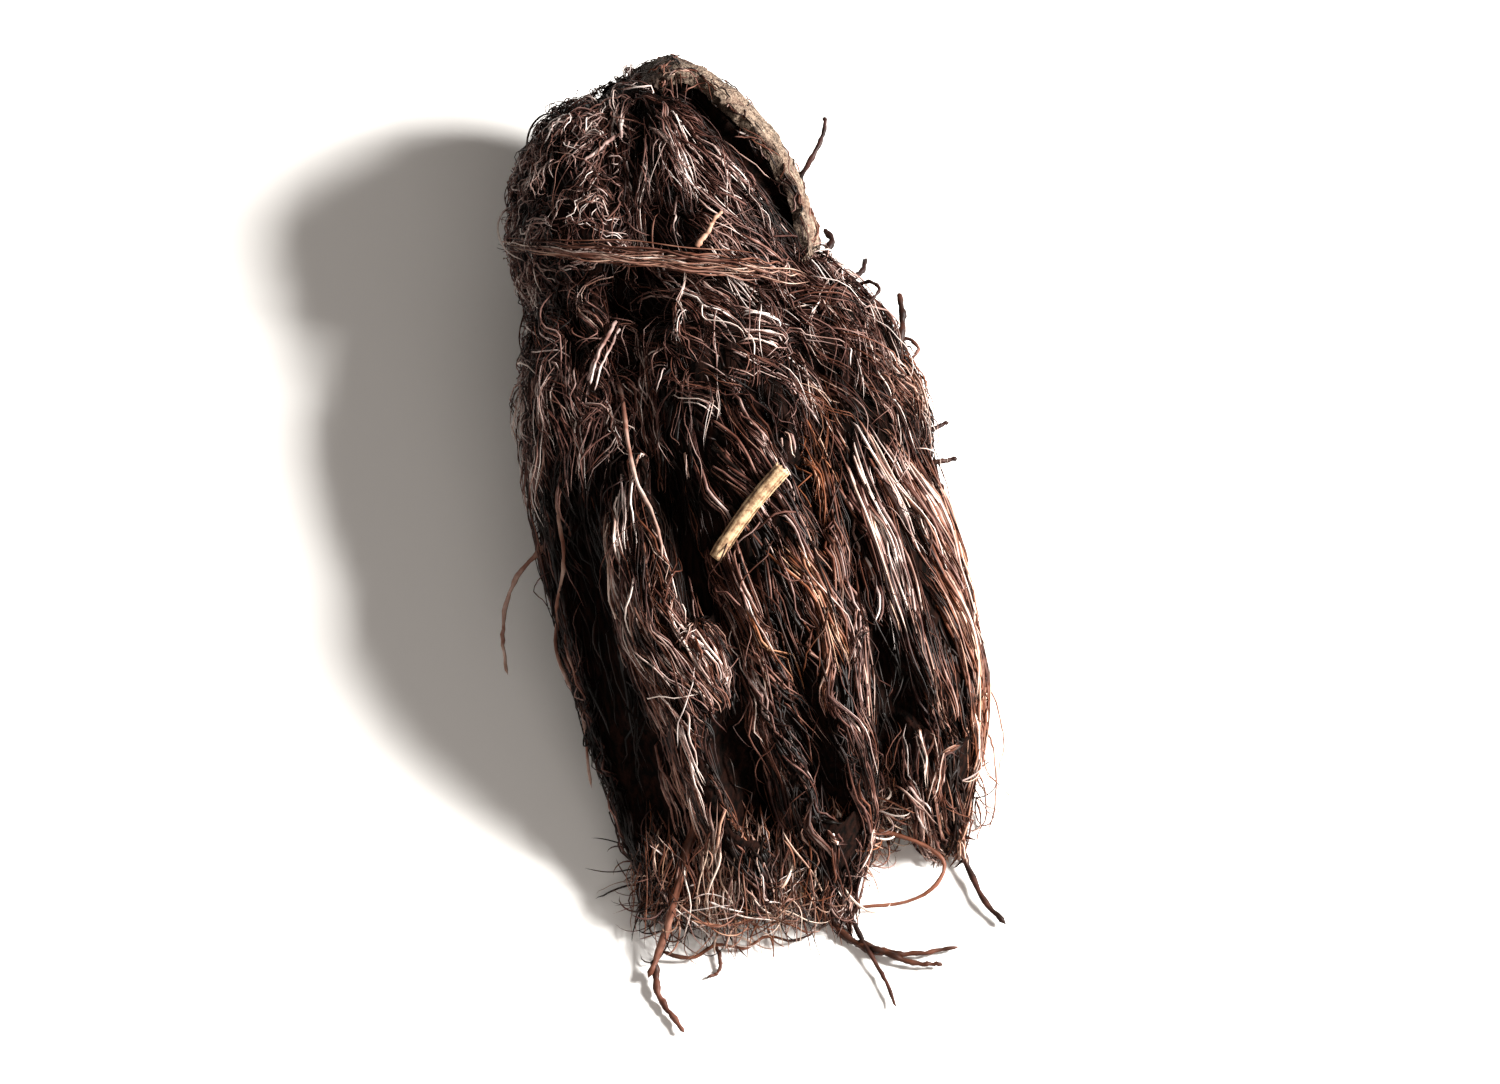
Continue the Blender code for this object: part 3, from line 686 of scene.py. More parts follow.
    def flow(self, points: Array, normals: Array) -> tuple[Array, Array]:
        """Reads which region each point is in, and which way its fibres run.

        Args:
            points: rows of x, y and z.
            normals: the skin's normals there.

        Returns:
            The index of each point's region, and rows of unit directions.
        """
        best = np.full(len(points), np.inf)
        region = np.zeros(len(points), int)
        course = np.zeros((len(points), 3))
        order = list(Region)
        for lock in self.locks:
            rows = smooth_route(lock.knots, 40)
            tangents = unit(np.gradient(rows[:, :3], axis=0))
            far = np.linalg.norm(points[:, None, :] - rows[None, :, :3], axis=2) / rows[None, :, 3]
            near = far.argmin(axis=1)
            share = far[np.arange(len(points)), near]
            taken = share < best
            best[taken], region[taken] = share[taken], order.index(lock.region)
            course[taken] = tangents[near[taken]]
        for dome in self.domes:
            share = dome.share(points)
            taken = share < best + self.dome_lead
            pole = dome.placed(np.array(dome.pole) * np.array(dome.half))
            best[taken], region[taken] = share[taken], order.index(dome.region)
            course[taken] = unit(points[taken] - pole)
        on_locks = np.isin(region, [order.index(r) for r in (Region.RIGHT, Region.CENTRE, Region.LEFT)])
        high = (points[:, 1] > self.shoulder) & (points[:, 2] > self.shoulder_height)
        region[on_locks & high] = order.index(Region.SHOULDER)
        seen, follow = self.lie(points, normals)
        return region, unit(course * (1 - follow) + seen * follow)


@dataclass(frozen=True)
class Habit:
    """How the fibres of one region grow. Pairs are the least and the most, or a mean and its spread."""

    bunches_per_cm2: float
    fibres: int
    length: tuple[float, float]
    spread: float
    # The height and the pitch of a fibre's waves.
    wave: tuple[float, float]
    # How far a bunch's heading strays from its region's, in radians, at its root and with each step.
    scatter: tuple[float, float]
    lift: tuple[float, float]
    radius: tuple[float, float]
    tone: tuple[float, float]
    warmth: tuple[float, float]
    # The share of the bunches that are pale, thicker and stand up from the rest.
    pale: float
    # How far the tips of neighbouring bunches are drawn together into a small lock.
    clump: float
    points: int = 10


# The undercoat lies beneath the other fibres, and its near-black tone is painted shade under them.
UNDERCOAT = Habit(
    bunches_per_cm2=15, fibres=4, length=(5, 11), spread=1.4, wave=(0.2, 5.0), scatter=(0.25, 0.1),
    lift=(-0.2, 0.1), radius=(0.14, 0.3), tone=(0.08, 0.05), warmth=(0.0, 0.05), pale=0.0, clump=0.2,
    points=6)
HABITS: dict[Region, Habit] = {
    Region.CROWN: Habit(
        bunches_per_cm2=52, fibres=5, length=(5, 13), spread=1.0, wave=(0.13, 4.0), scatter=(0.3, 0.08),
        lift=(0.0, 0.9), radius=(0.045, 0.125), tone=(0.35, 0.2), warmth=(0.03, 0.07), pale=0.48, clump=0.2),
    Region.LOBE: Habit(
        bunches_per_cm2=60, fibres=5, length=(2.5, 6.5), spread=1.1, wave=(0.26, 2.6), scatter=(1.0, 0.22),
        lift=(0.0, 0.8), radius=(0.045, 0.11), tone=(0.33, 0.2), warmth=(0.03, 0.07), pale=0.38, clump=0.1,
        points=9),
    Region.SHOULDER: Habit(
        bunches_per_cm2=54, fibres=5, length=(5, 14), spread=1.2, wave=(0.08, 6.0), scatter=(0.55, 0.05),
        lift=(0.0, 1.3), radius=(0.045, 0.115), tone=(0.29, 0.2), warmth=(0.04, 0.09), pale=0.4, clump=0.1,
        points=8),
    Region.RIGHT: Habit(
        bunches_per_cm2=30, fibres=6, length=(14, 28), spread=0.95, wave=(0.05, 10.0), scatter=(0.07, 0.015),
        lift=(0.0, 0.8), radius=(0.06, 0.2), tone=(0.27, 0.2), warmth=(0.12, 0.14), pale=0.6, clump=0.5),
    Region.CENTRE: Habit(
        bunches_per_cm2=28, fibres=6, length=(9, 22), spread=1.05, wave=(0.1, 8.0), scatter=(0.14, 0.04),
        lift=(0.0, 1.0), radius=(0.06, 0.2), tone=(0.25, 0.19), warmth=(0.1, 0.12), pale=0.4, clump=0.5),
    Region.UPPER: Habit(
        bunches_per_cm2=40, fibres=6, length=(8, 18), spread=0.95, wave=(0.13, 6.0), scatter=(0.18, 0.05),
        lift=(0.0, 1.0), radius=(0.05, 0.15), tone=(0.30, 0.19), warmth=(0.12, 0.12), pale=0.38, clump=0.4),
    # The left lock's low tone is painted shade.
    Region.LEFT: Habit(
        bunches_per_cm2=28, fibres=6, length=(8, 20), spread=1.1, wave=(0.15, 6.5), scatter=(0.16, 0.05),
        lift=(0.0, 0.9), radius=(0.06, 0.17), tone=(0.11, 0.1), warmth=(0.06, 0.1), pale=0.16, clump=0.45,
        points=9),
    Region.UNDER: Habit(
        bunches_per_cm2=14, fibres=5, length=(10, 20), spread=1.3, wave=(0.2, 8.0), scatter=(0.16, 0.06),
        lift=(0.0, 0.4), radius=(0.10, 0.20), tone=(0.22, 0.14), warmth=(0.06, 0.08), pale=0.25, clump=0.4,
        points=9),
}
LOOSE = Habit(
    bunches_per_cm2=4.4, fibres=1, length=(6, 18), spread=0.6, wave=(0.24, 8.0), scatter=(0.55, 0.1),
    lift=(0.5, 2.0), radius=(0.05, 0.14), tone=(0.45, 0.2), warmth=(0.06, 0.08), pale=0.25, clump=0.0,
    points=16)


@dataclass
class StrandSet:
    """The fibres of one piece, gathered as arrays and then swept into one mesh."""

    name: str
    slot: str
    box: tuple[Array, Array]
    batches: list[tuple[Array, Array, Array, Array]] = field(default_factory=list)

    def add(self, points: Array, radii: Array, tone: Array, warmth: Array) -> None:
        """Adds fibres, held inside the box and off the table.

        Args:
            points: fibres by points by x, y and z, in millimetres.
            radii: fibres by points. The first and last are closed to a point.
            tone: how light each fibre is.
            warmth: how golden each fibre is.
        """
        low, high = self.box
        held = np.clip(points, low, high)
        # Flattened against the side of the box, a fibre would kink.
        kept = np.abs(held - points)[..., :2].max(axis=(1, 2)) < SIDE_SLACK
        held, radii = held[kept], radii[kept].copy()
        held[..., 2] = np.maximum(held[..., 2], radii + TABLE_GAP)
        radii[:, 0] = radii[:, -1] = 0.0
        self.batches.append((held, radii, np.clip(tone[kept], 0, 1), np.clip(warmth[kept], 0, 1)))

    def build(self, material: bpy.types.Material, sides: int = 3) -> bpy.types.Object:
        """Sweeps every fibre and closes its ends.

        Args:
            material: the fibres' material.
            sides: how many sides a fibre has.

        Returns:
            The piece, riding on the root.
        """
        turns = [math.tau * corner / sides for corner in range(sides)]
        section = outline_object("fibre_section", [(math.cos(turn), math.sin(turn)) for turn in turns])
        curve = bpy.data.curves.new(self.name, "CURVE")
        curve.dimensions = "3D"
        curve.bevel_mode = "OBJECT"
        curve.bevel_object = section
        values: dict[str, list[Array]] = {"tone": [], "warmth": [], "along": []}
        for points, radii, tone, warmth in self.batches:
            fibres, count = radii.shape
            rows = np.concatenate([points * MM, np.ones((fibres, count, 1))], axis=2)
            for row, thickness in zip(rows, radii * MM):
                spline = curve.splines.new("POLY")
                spline.points.add(count - 1)
                spline.points.foreach_set("co", row.ravel())
                spline.points.foreach_set("radius", thickness)
            values["tone"].append(np.repeat(tone, count * sides))
            values["warmth"].append(np.repeat(warmth, count * sides))
            values["along"].append(np.tile(np.repeat(np.linspace(0, 1, count), sides), fibres))
        route = bpy.data.objects.new(self.name + "_route", curve)
        bpy.context.scene.collection.objects.link(route)
        mesh = evaluated_mesh(route)
        bpy.data.objects.remove(route)
        bpy.data.objects.remove(section)
        for name, parts in values.items():
            mesh.attributes.new(name, "FLOAT", "POINT").data.foreach_set("value", np.concatenate(parts))
        bm = bmesh.new()
        bm.from_mesh(mesh)
        bmesh.ops.remove_doubles(bm, verts=bm.verts, dist=WELD * MM)
        bmesh.ops.recalc_face_normals(bm, faces=bm.faces)
        bpy.data.meshes.remove(mesh)
        piece = link_mesh(self.name, bm)
        piece.data.materials.append(material)
        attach(piece, "root")
        LOG.info("%s: %d triangles", self.name, len(piece.data.loops) - 2 * len(piece.data.polygons))
        return piece


@dataclass
class Fleece:
    """The fibres that cover the core, region by region."""

    form: RootForm
    box: tuple[Array, Array]
    material: bpy.types.Material
    step_count: int = 12
    # A bunch that runs off the foot of a lock goes on at this share of its step, and strays more.
    foot_step: float = 0.3
    foot_scatter: float = 0.35
    # It does so where the skin turns this far towards the foot, and sags a little with each step.
    foot_turn: float = 0.6
    foot_sag: float = 0.1
    foot_floor: float = 0.15
    # How many bunches a small lock has.
    lock_size: int = 7
    # The shares of its bunch's length between which a fibre starts, and ends.
    starts: tuple[float, float] = (0.0, 0.25)
    ends: tuple[float, float] = (0.6, 1.0)
    # A bunch is this much narrower in its middle and wider at its tips, and its fibres turn about each other.
    waist: float = 0.3
    splay: float = 0.25
    twist: float = 0.7
    # How a fibre's waves vary, as shares of its habit's pitch and height, and how uneven each one is.
    pitches: tuple[float, float] = (0.6, 1.5)
    heights: tuple[float, float] = (0.2, 1.6)
    unevenness: float = 0.6
    # Across the skin a fibre keeps only a part of its bunch's depth and of its waves, and it follows a skin
    # that is about this round.
    flatness: float = 0.35
    wave_flatness: float = 0.6
    skin_radius: float = 9.0
    root_depth: float = 0.25
    # Thin fibres are more common than thick ones, and each loses this share of its girth along its length.
    thinness: float = 1.6
    thinning: float = 0.4
    # How much lighter and thicker a pale bunch is, and how much higher it stands.
    pale_rise: float = 0.38
    pale_rises: tuple[float, float] = (0.0, 1.5)
    pale_girth: float = 0.15
    pale_lift: float = 0.4
    # The parts of the region's spread of tones that a small lock, a bunch and a fibre have.
    lock_tone: float = 0.4
    bunch_tone: float = 0.3
    fibre_tone: float = 0.8
    # How much darker, as painted shade, a fibre is that lies all along the middle of a gap, and how likely it
    # is to be missing, above this height.
    gap_shade: float = 0.55
    gap_loss: float = 0.85
    gap_floor: float = 5.0
    # Fibres are more golden towards the right edge, a painted light on the side that faces the key: past this
    # x, over this far, by this much.
    golden_from: float = 16.0
    golden_run: float = 7.0
    golden_rise: float = 0.3
    # Where fibres are stained orange: x, height in the picture plane, half sizes across and up, and how much.
    stains: tuple[tuple[float, float, float, float, float], ...] = (
        (7.2, 3.0, 1.3, 9.0, 0.75), (6.8, -10.5, 1.4, 3.5, 0.7), (1.8, -13.0, 1.2, 2.2, 0.8),
        (-2.0, -29.0, 4.0, 6.0, 0.25), (16.0, 12.5, 2.5, 2.5, 0.35), (-8.8, -9.0, 1.2, 3.0, 0.4))
    # The seeds stand this much thicker at a dome's pole, where no fibre comes from farther back, and thinner
    # on the underside and in a gap.
    pole_density: float = 1.6
    pole_reach: float = 4.0
    under_density: float = 0.5
    gap_thinning: float = 0.8
    # Loose strands grow where the skin doesn't face down more than this.
    loose_slope: float = -0.2

    def build(self, core: bpy.types.Object) -> None:
        """Seeds the bunches over the core, runs them along it and parts them into fibres.

        Args:
            core: the core's object.
        """
        draws = np.random.default_rng(SEED)
        centres, normals, areas = self._faces(core.data)
        regions, _ = self.form.flow(centres, normals)
        everywhere = np.arange(len(centres))
        self._grow("undercoat", UNDERCOAT, everywhere, centres, normals, areas, draws)
        for index, region in enumerate(Region):
            here = np.flatnonzero(regions == index)
            self._grow(region.value + "_fibres", HABITS[region], here, centres, normals, areas, draws)
        above = np.flatnonzero(normals[:, 2] > self.loose_slope)
        self._grow("loose_fibres", LOOSE, above, centres, normals, areas, draws)

    def _grow(self, name: str, habit: Habit, here: Array, centres: Array, normals: Array, areas: Array,
              draws: np.random.Generator) -> None:
        """Makes one piece of the fibres that grow from some of the skin's faces.

        Args:
            name: the piece's name.
            habit: how they grow.
            here: the faces' numbers.
            centres: every face's middle.
            normals: every face's normal.
            areas: every face's area.
            draws: the random draws.
        """
        weights = areas[here] * self._density(centres[here], normals[here])
        count = int(weights.sum() / 100 * habit.bunches_per_cm2)
        chosen = here[draws.choice(len(here), count, p=weights / weights.sum())]
        guides, outs = self._run(centres[chosen], normals[chosen], habit, draws)
        guides, locks = self._draw_together(guides, habit, draws)
        strands = StrandSet(name, "root_fibre", self.box)
        self._part(strands, guides, outs, locks, habit, draws)
        strands.build(self.material)

    def _draw_together(self, guides: Array, habit: Habit, draws: np.random.Generator) -> tuple[Array, Array]:
        """Draws the tips of neighbouring guides towards the guide that leads their small lock.

        Args:
            guides: the guides' points.
            habit: the region's habit.
            draws: the random draws.

        Returns:
            The guides, and the number of each one's lock.
        """
        leaders = guides[draws.choice(len(guides), max(1, len(guides) // self.lock_size), replace=False)]
        gaps = ((guides[:, None, 2] - leaders[None, :, 2]) ** 2).sum(axis=2)
        locks = gaps.argmin(axis=1)
        pull = habit.clump * np.linspace(0, 1, self.step_count)[None, :, None]
        return guides + (leaders[locks] - guides) * pull, locks

    @staticmethod
    def _faces(mesh: bpy.types.Mesh) -> tuple[Array, Array, Array]:
        """Returns the faces' middles in millimetres, their normals, and their areas in square millimetres."""
        count = len(mesh.polygons)
        centres, normals, areas = np.empty(count * 3), np.empty(count * 3), np.empty(count)
        mesh.polygons.foreach_get("center", centres)
        mesh.polygons.foreach_get("normal", normals)
        mesh.polygons.foreach_get("area", areas)
        return centres.reshape(-1, 3) / MM, normals.reshape(-1, 3), areas / MM**2

    def _density(self, centres: Array, normals: Array) -> Array:
        """Returns how thickly each face is seeded: less below and in the gaps, and more at the poles."""
        density = np.where(normals[:, 2] < -0.3, self.under_density, 1.0)
        for dome in self.form.domes:
            pole = dome.placed(np.array(dome.pole) * np.array(dome.half))
            far = np.linalg.norm(centres - pole, axis=1) / self.pole_reach
            density = density * (1 + self.pole_density * np.exp(-far**2))
        for share in self.form.gap_share(centres):
            density = density * (1 - self.gap_thinning * np.clip(2 * share, 0, 1) * (normals[:, 2] > 0))
        return density

    def _run(self, starts: Array, normals: Array, habit: Habit,
             draws: np.random.Generator) -> tuple[Array, Array]:
        """Runs each bunch's guide along the skin.

        Args:
            starts: the bunches' roots on the skin.
            normals: the skin's normals there.
            habit: the region's habit.
            draws: the random draws.

        Returns:
            The guides' points and their outward directions, each guides by points by x, y and z.
        """
        count = len(starts)
        step = (draws.uniform(*habit.length, count) / (self.step_count - 1))[:, None]
        astray = draws.normal(0.0, habit.scatter[0], count)
        place, outward, free = starts.copy(), normals.copy(), np.zeros(count, bool)
        guides, outs = [], []
        for _ in range(self.step_count):
            guides.append(place.copy())
            outs.append(outward.copy())
            _, course = self.form.flow(place, outward)
            scatter = np.where(free, self.foot_scatter, habit.scatter[1])
            astray = astray + draws.normal(0.0, 1.0, count) * scatter
            across = unit(np.cross(outward, course))
            heading = course * np.cos(astray)[:, None] + across * np.sin(astray)[:, None]
            rise = (heading * outward).sum(axis=1, keepdims=True)
            heading = unit(heading - outward * rise * ~free[:, None])
            ahead = place + heading * step * np.where(free, self.foot_step, 1.0)[:, None]
            for number in range(count):
                spot, normal, _, _ = self.form.tree.find_nearest(Vector(ahead[number] * MM))
                normal = np.array(normal)
                if ahead[number][1] < 0 and (free[number] or normal @ course[number] > self.foot_turn):
                    free[number] = True
                    place[number] = ahead[number]
                    place[number, 2] = max(place[number, 2] - self.foot_sag, self.foot_floor)
                else:
                    place[number] = np.array(spot) / MM
                    outward[number] = normal
        return np.stack(guides, axis=1), unit(np.stack(outs, axis=1))

    def _part(self, strands: StrandSet, guides: Array, outs: Array, locks: Array, habit: Habit,
              draws: np.random.Generator) -> None:
        """Parts each guide into its bunch of fibres and adds them.

        Args:
            strands: the piece's fibres.
            guides: the guides' points.
            outs: their outward directions.
            locks: the number of each guide's small lock.
            habit: the region's habit.
            draws: the random draws.
        """
        bunches, count = len(guides), habit.points
        total = bunches * habit.fibres
        owner = np.repeat(np.arange(bunches), habit.fibres)
        pale = (draws.uniform(0, 1, bunches) < habit.pale)[owner]
        sides = unit(np.cross(unit(np.gradient(guides, axis=1)), outs))
        start = draws.uniform(*self.starts, total)[:, None]
        end = draws.uniform(*self.ends, total)[:, None]
        t = np.linspace(0, 1, count)[None, :]
        at = start + (end - start) * t
        path, side, out = (read_along(rows[owner], at) for rows in (guides, sides, outs))
        width = 1.0 - self.waist * np.sin(math.pi * t) + self.splay * t**3
        angle = draws.uniform(0, math.tau, total)[:, None] + draws.normal(0, self.twist, total)[:, None] * t
        far = habit.spread * np.sqrt(draws.uniform(0, 1, total))[:, None] * width
        arch = np.sin(math.pi * np.clip(t, 0.05, 0.95)) ** 0.5
        lift = (draws.uniform(*habit.lift, total) + self.pale_lift * pale)[:, None] * arch
        length = np.linalg.norm(np.diff(path, axis=1), axis=2).sum(axis=1)[:, None]
        sideways = far * np.cos(angle) + self._wave(length, t, habit, draws)
        upward = np.abs(far * np.sin(angle)) * self.flatness
        upward = upward + self.wave_flatness * self._wave(length, t, habit, draws) + lift
        upward = upward - sideways**2 / (2 * self.skin_radius)
        upward[:, 0] = -self.root_depth
        points = path + side * sideways[..., None] + out * upward[..., None]
        thin, thick = habit.radius
        radius = draws.uniform(0, 1, total) ** self.thinness * (thick - thin) + thin
        radius *= 1 + self.pale_girth * pale
        radii = radius[:, None] * (1 - self.thinning * t) * fibre_taper(t)
        shared = draws.normal(0, self.lock_tone, locks.max() + 1)[locks]
        shared = shared + draws.normal(0, self.bunch_tone, bunches)
        own = self.fibre_tone * draws.normal(0, 1, total)
        tone = habit.tone[0] + habit.tone[1] * (shared[owner] + own)
        tone += self.pale_rise * pale * draws.uniform(*self.pale_rises, total)
        warmth = habit.warmth[0] + habit.warmth[1] * draws.normal(0, 1, total)
        flat = points.reshape(-1, 3)
        share = np.max(self.form.gap_share(flat), axis=0) * (flat[:, 2] > self.gap_floor)
        share = share.reshape(total, count).mean(axis=1)
        # Painted shade: fibres that lie in a gap, as the camera sees it, are darkened.
        tone -= self.gap_shade * share
        middles = points[:, count // 2]
        # Painted light: a golden tint towards the lit right edge.
        warmth += self.golden_rise * np.clip((middles[:, 0] - self.golden_from) / self.golden_run, 0, 1)
        for x, level, across, up, stain in self.stains:
            far = ((middles[:, 0] - x) / across) ** 2 + ((middles @ PICTURE_UP - level) / up) ** 2
            warmth += stain * np.exp(-far)
        left = draws.uniform(0, 1, total) > self.gap_loss * share
        strands.add(points[left], radii[left], tone[left], warmth[left])

    def _wave(self, length: Array, t: Array, habit: Habit, draws: np.random.Generator) -> Array:
        """Returns how far each fibre swings to one side along its length.

        Args:
            length: the fibres' lengths.
            t: the shares of its length where a fibre has its points.
            habit: the region's habit.
            draws: the random draws.
        """
        count = len(length)
        height, pitch = habit.wave
        turns = length / (pitch * draws.uniform(*self.pitches, count)[:, None])
        phase = draws.uniform(0, math.tau, count)[:, None]
        size = height * draws.uniform(*self.heights, count)[:, None]
        return size * np.sin(math.tau * turns * t + phase + self.unevenness * np.sin(5.0 * t + phase))


@dataclass
class WaistWisp:
    """The band of long red-brown fibres that lies over the waist."""

    box: tuple[Array, Array]
    knots: Knots = (
        (-24.8, 25.4, 10.2, 0.4), (-23.2, 21.8, 16.2, 0.9), (-16.7, 16.8, 23.1, 1.1), (-8.0, 14.8, 24.9, 1.2),
        (0.0, 13.6, 24.8, 1.1), (4.0, 13.4, 23.6, 0.9), (6.8, 13.4, 22.4, 0.4))
    half_width: float = 1.25
    half_depth: float = 0.8
    fibres: int = 34
    points: int = 30
    radius: tuple[float, float] = (0.04, 0.11)
    # A fibre starts and ends at shares of the band between these, and drifts and sways on its way.
    starts: tuple[float, float] = (0.0, 0.4)
    ends: tuple[float, float] = (0.55, 1.0)
    drift: float = 0.7
    sways: tuple[float, float] = (2, 6)
    sway: float = 0.28
    tone: tuple[float, float] = (0.45, 0.26)
    warmth: tuple[float, float] = (0.1, 0.1)
    tones: tuple[str, ...] = ("#0d0604", "#26130e", "#4a2c24", "#745247", "#9f8377", "#d0bcb1")

    def build(self) -> bpy.types.Object:
        """Lays the fibres side by side along the band, each over a stretch of its own.

        Returns:
            The piece that stands for the wisp.
        """
        draws = np.random.default_rng(SEED + 2)
        route = smooth_route(self.knots, 60)
        along = unit(np.gradient(route[:, :3], axis=0))
        across = unit(np.cross(along, [0.0, 0.0, 1.0]))
        outward = np.cross(across, along)
        start = draws.uniform(*self.starts, self.fibres)[:, None]
        end = draws.uniform(*self.ends, self.fibres)[:, None]
        t = np.linspace(0, 1, self.points)[None, :]
        rows = np.repeat(np.concatenate([route, across, outward], axis=1)[None], self.fibres, axis=0)
        rows = read_along(rows, start + (end - start) * t)
        path, width, side, out = rows[..., :3], rows[..., 3], rows[..., 4:7], rows[..., 7:10]
        place = draws.uniform(-1, 1, self.fibres)[:, None]
        drift = draws.normal(0, self.drift, self.fibres)[:, None] * (t - 0.5)
        turns = draws.uniform(*self.sways, self.fibres)[:, None]
        sway = self.sway * np.sin(math.tau * (t * turns + draws.uniform(0, 1, self.fibres)[:, None]))
        sideways = self.half_width * width * (place + drift) + sway
        upward = self.half_depth * draws.uniform(-0.8, 1, self.fibres)[:, None] + 0.5 * sway
        points = path + side * sideways[..., None] + out * upward[..., None]
        radii = draws.uniform(*self.radius, self.fibres)[:, None] * np.clip(np.sin(math.pi * t) * 3, 0.2, 1)
        tone, warmth = draws.normal(*self.tone, self.fibres), draws.normal(*self.warmth, self.fibres)
        strands = StrandSet("waist_wisp", "wisp_fibre", self.box)
        strands.add(points, radii, tone, warmth)
        piece = strands.build(FibreFinish("red_leaf_fibre", self.tones).material())
        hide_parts("fibre_wisp")
        return piece


@dataclass
class FrayedFoot:
    """The frayed ends that hang from the locks, and the tangle of broken fibres that they end in."""

    box: tuple[Array, Array]
    material: bpy.types.Material
    hanging: int = 950
    broken: int = 700
    # The share of the hanging ends that reach out past the tangle.
    straying: float = 0.14
    points: int = 12
    length: tuple[float, float] = (1.5, 8.0)
    radius: tuple[float, float] = (0.06, 0.18)
    thinness: float = 1.8
    thinning: float = 0.5
    tone: tuple[float, float] = (0.57, 0.3)
    warmth: tuple[float, float] = (0.28, 0.2)
    # The ends on the left are darker, as painted shade: left of this x, over this far, by this much.
    shade_start: float = -5.0
    shade_span: float = 5.0
    shade_amount: float = 0.3
    # The tangle's middle line: knots of x, y, z and half width, from left to right.
    knots: Knots = (
        (-10.5, -43.0, 2.0, 3.0), (-8.0, -45.4, 2.6, 3.6), (-2.5, -46.0, 3.2, 3.8), (3.0, -45.4, 3.4, 3.4),
        (7.5, -43.8, 3.2, 2.8), (10.5, -38.6, 4.2, 2.0), (15.5, -35.2, 4.6, 1.7), (22.0, -33.0, 4.2, 1.6))
    line_points: int = 80
    # Where along the line fibres gather, as the two shape numbers of a beta draw, and how far they scatter.
    hanging_lean: tuple[float, float] = (1.3, 1.4)
    broken_lean: tuple[float, float] = (1.0, 1.25)
    scatter: float = 0.8
    # Where a hanging end starts, back from the line in half widths and up from it.
    back: tuple[float, float] = (0.6, 2.4)
    up: tuple[float, float] = (0.5, 6.0)
    # Where it ends: past the line in half widths, with more where it strays, above the table, and sideways.
    past: tuple[float, float] = (-0.6, 0.9)
    stray_past: tuple[float, float] = (0.4, 1.4)
    end_height: tuple[float, float] = (0.2, 2.4)
    drift: float = 1.8
    # Ends left of this x turn inwards, over this far, by this much.
    turn_from: float = -7.0
    turn_run: float = 4.0
    turn_in: float = 2.0
    # How often a hanging end sways, how far it does, and how high it swells on its way down.
    sways: tuple[float, float] = (0.5, 1.8)
    sway: tuple[float, float] = (0.1, 0.7)
    swell: tuple[float, float] = (0.2, 1.6)
    # How broken fibres set out and wander: the mean and spread of a heading, and the spread of the bend and
    # the climb. With each step a fibre keeps a part of its bend, gains some of its own, and sinks a little.
    heading: tuple[float, float] = (-1.0, 1.2)
    bend: float = 0.1
    bend_kept: float = 0.8
    bend_gain: float = 0.08
    climb: float = 0.15
    climb_gain: tuple[float, float] = (-0.02, 0.06)
    lowest: float = 0.4
    # A fibre past this share of the tangle's width turns back to it, this strongly with each step.
    stray_limit: float = 0.8
    homing: float = 0.5

    def build(self) -> bpy.types.Object:
        """Lays the hanging ends and the broken fibres.

        Returns:
            The piece.
        """
        draws = np.random.default_rng(SEED + 3)
        line = smooth_route(self.knots, self.line_points)
        paths = np.concatenate([self._hanging_ends(line, draws), self._broken_bits(line, draws)])
        count = len(paths)
        t = np.linspace(0, 1, self.points)[None, :]
        thin, thick = self.radius
        radius = draws.uniform(0, 1, count) ** self.thinness * (thick - thin) + thin
        radii = radius[:, None] * (1 - self.thinning * t) * fibre_taper(t)
        strands = StrandSet("frayed_foot", "root_fibre", self.box)
        # Painted shade: the foot's fibres darken towards its left end.
        shaded_share = np.clip((self.shade_start - paths[:, 0, 0]) / self.shade_span, 0, 1)
        tone = draws.normal(*self.tone, count) - self.shade_amount * shaded_share
        strands.add(paths, radii, tone, draws.normal(*self.warmth, count))
        return strands.build(self.material)

    @staticmethod
    def _gather(line: Array, lean: tuple[float, float], count: int, draws: np.random.Generator) -> Array:
        """Draws rows of the tangle's line, where fibres gather."""
        return line[np.minimum(draws.beta(*lean, count) * len(line), len(line) - 1).astype(int)]

    def _hanging_ends(self, line: Array, draws: np.random.Generator) -> Array:
        """Runs fibres from the ends of the locks down to the table.

        Args:
            line: the tangle's line, as rows of x, y, z and half width.
            draws: the random draws.

        Returns:
            The fibres' paths.
        """
        count = self.hanging
        near = self._gather(line, self.hanging_lean, count, draws)
        start, end = near[:, :3].copy(), near[:, :3].copy()
        start[:, 0] += draws.normal(0, self.scatter, count)
        start[:, 1] += near[:, 3] * draws.uniform(*self.back, count)
        start[:, 2] += draws.uniform(*self.up, count)
        inwards = self.turn_in * np.clip((self.turn_from - start[:, 0]) / self.turn_run, 0, 1)
        end[:, 0] = start[:, 0] + draws.normal(0.0, self.drift, count) + inwards
        far = draws.uniform(0, 1, count) < self.straying
        past = draws.uniform(*self.past, count) + far * draws.uniform(*self.stray_past, count)
        end[:, 1] -= near[:, 3] * past
        end[:, 2] = draws.uniform(*self.end_height, count)
        t = np.linspace(0, 1, self.points)[None, :]
        run = (end - start)[:, None, :] * t[..., None]
        turns = draws.uniform(*self.sways, count)[:, None]
        phase = draws.uniform(0, math.tau, count)[:, None]
        sway = draws.uniform(*self.sway, count)[:, None]
        sway = sway * (np.sin(math.tau * turns * t + phase) - np.sin(phase))
        swell = draws.uniform(*self.swell, count)[:, None] * np.sin(math.pi * t)
        return start[:, None, :] + run + np.stack([sway, np.zeros_like(sway), swell], axis=2)

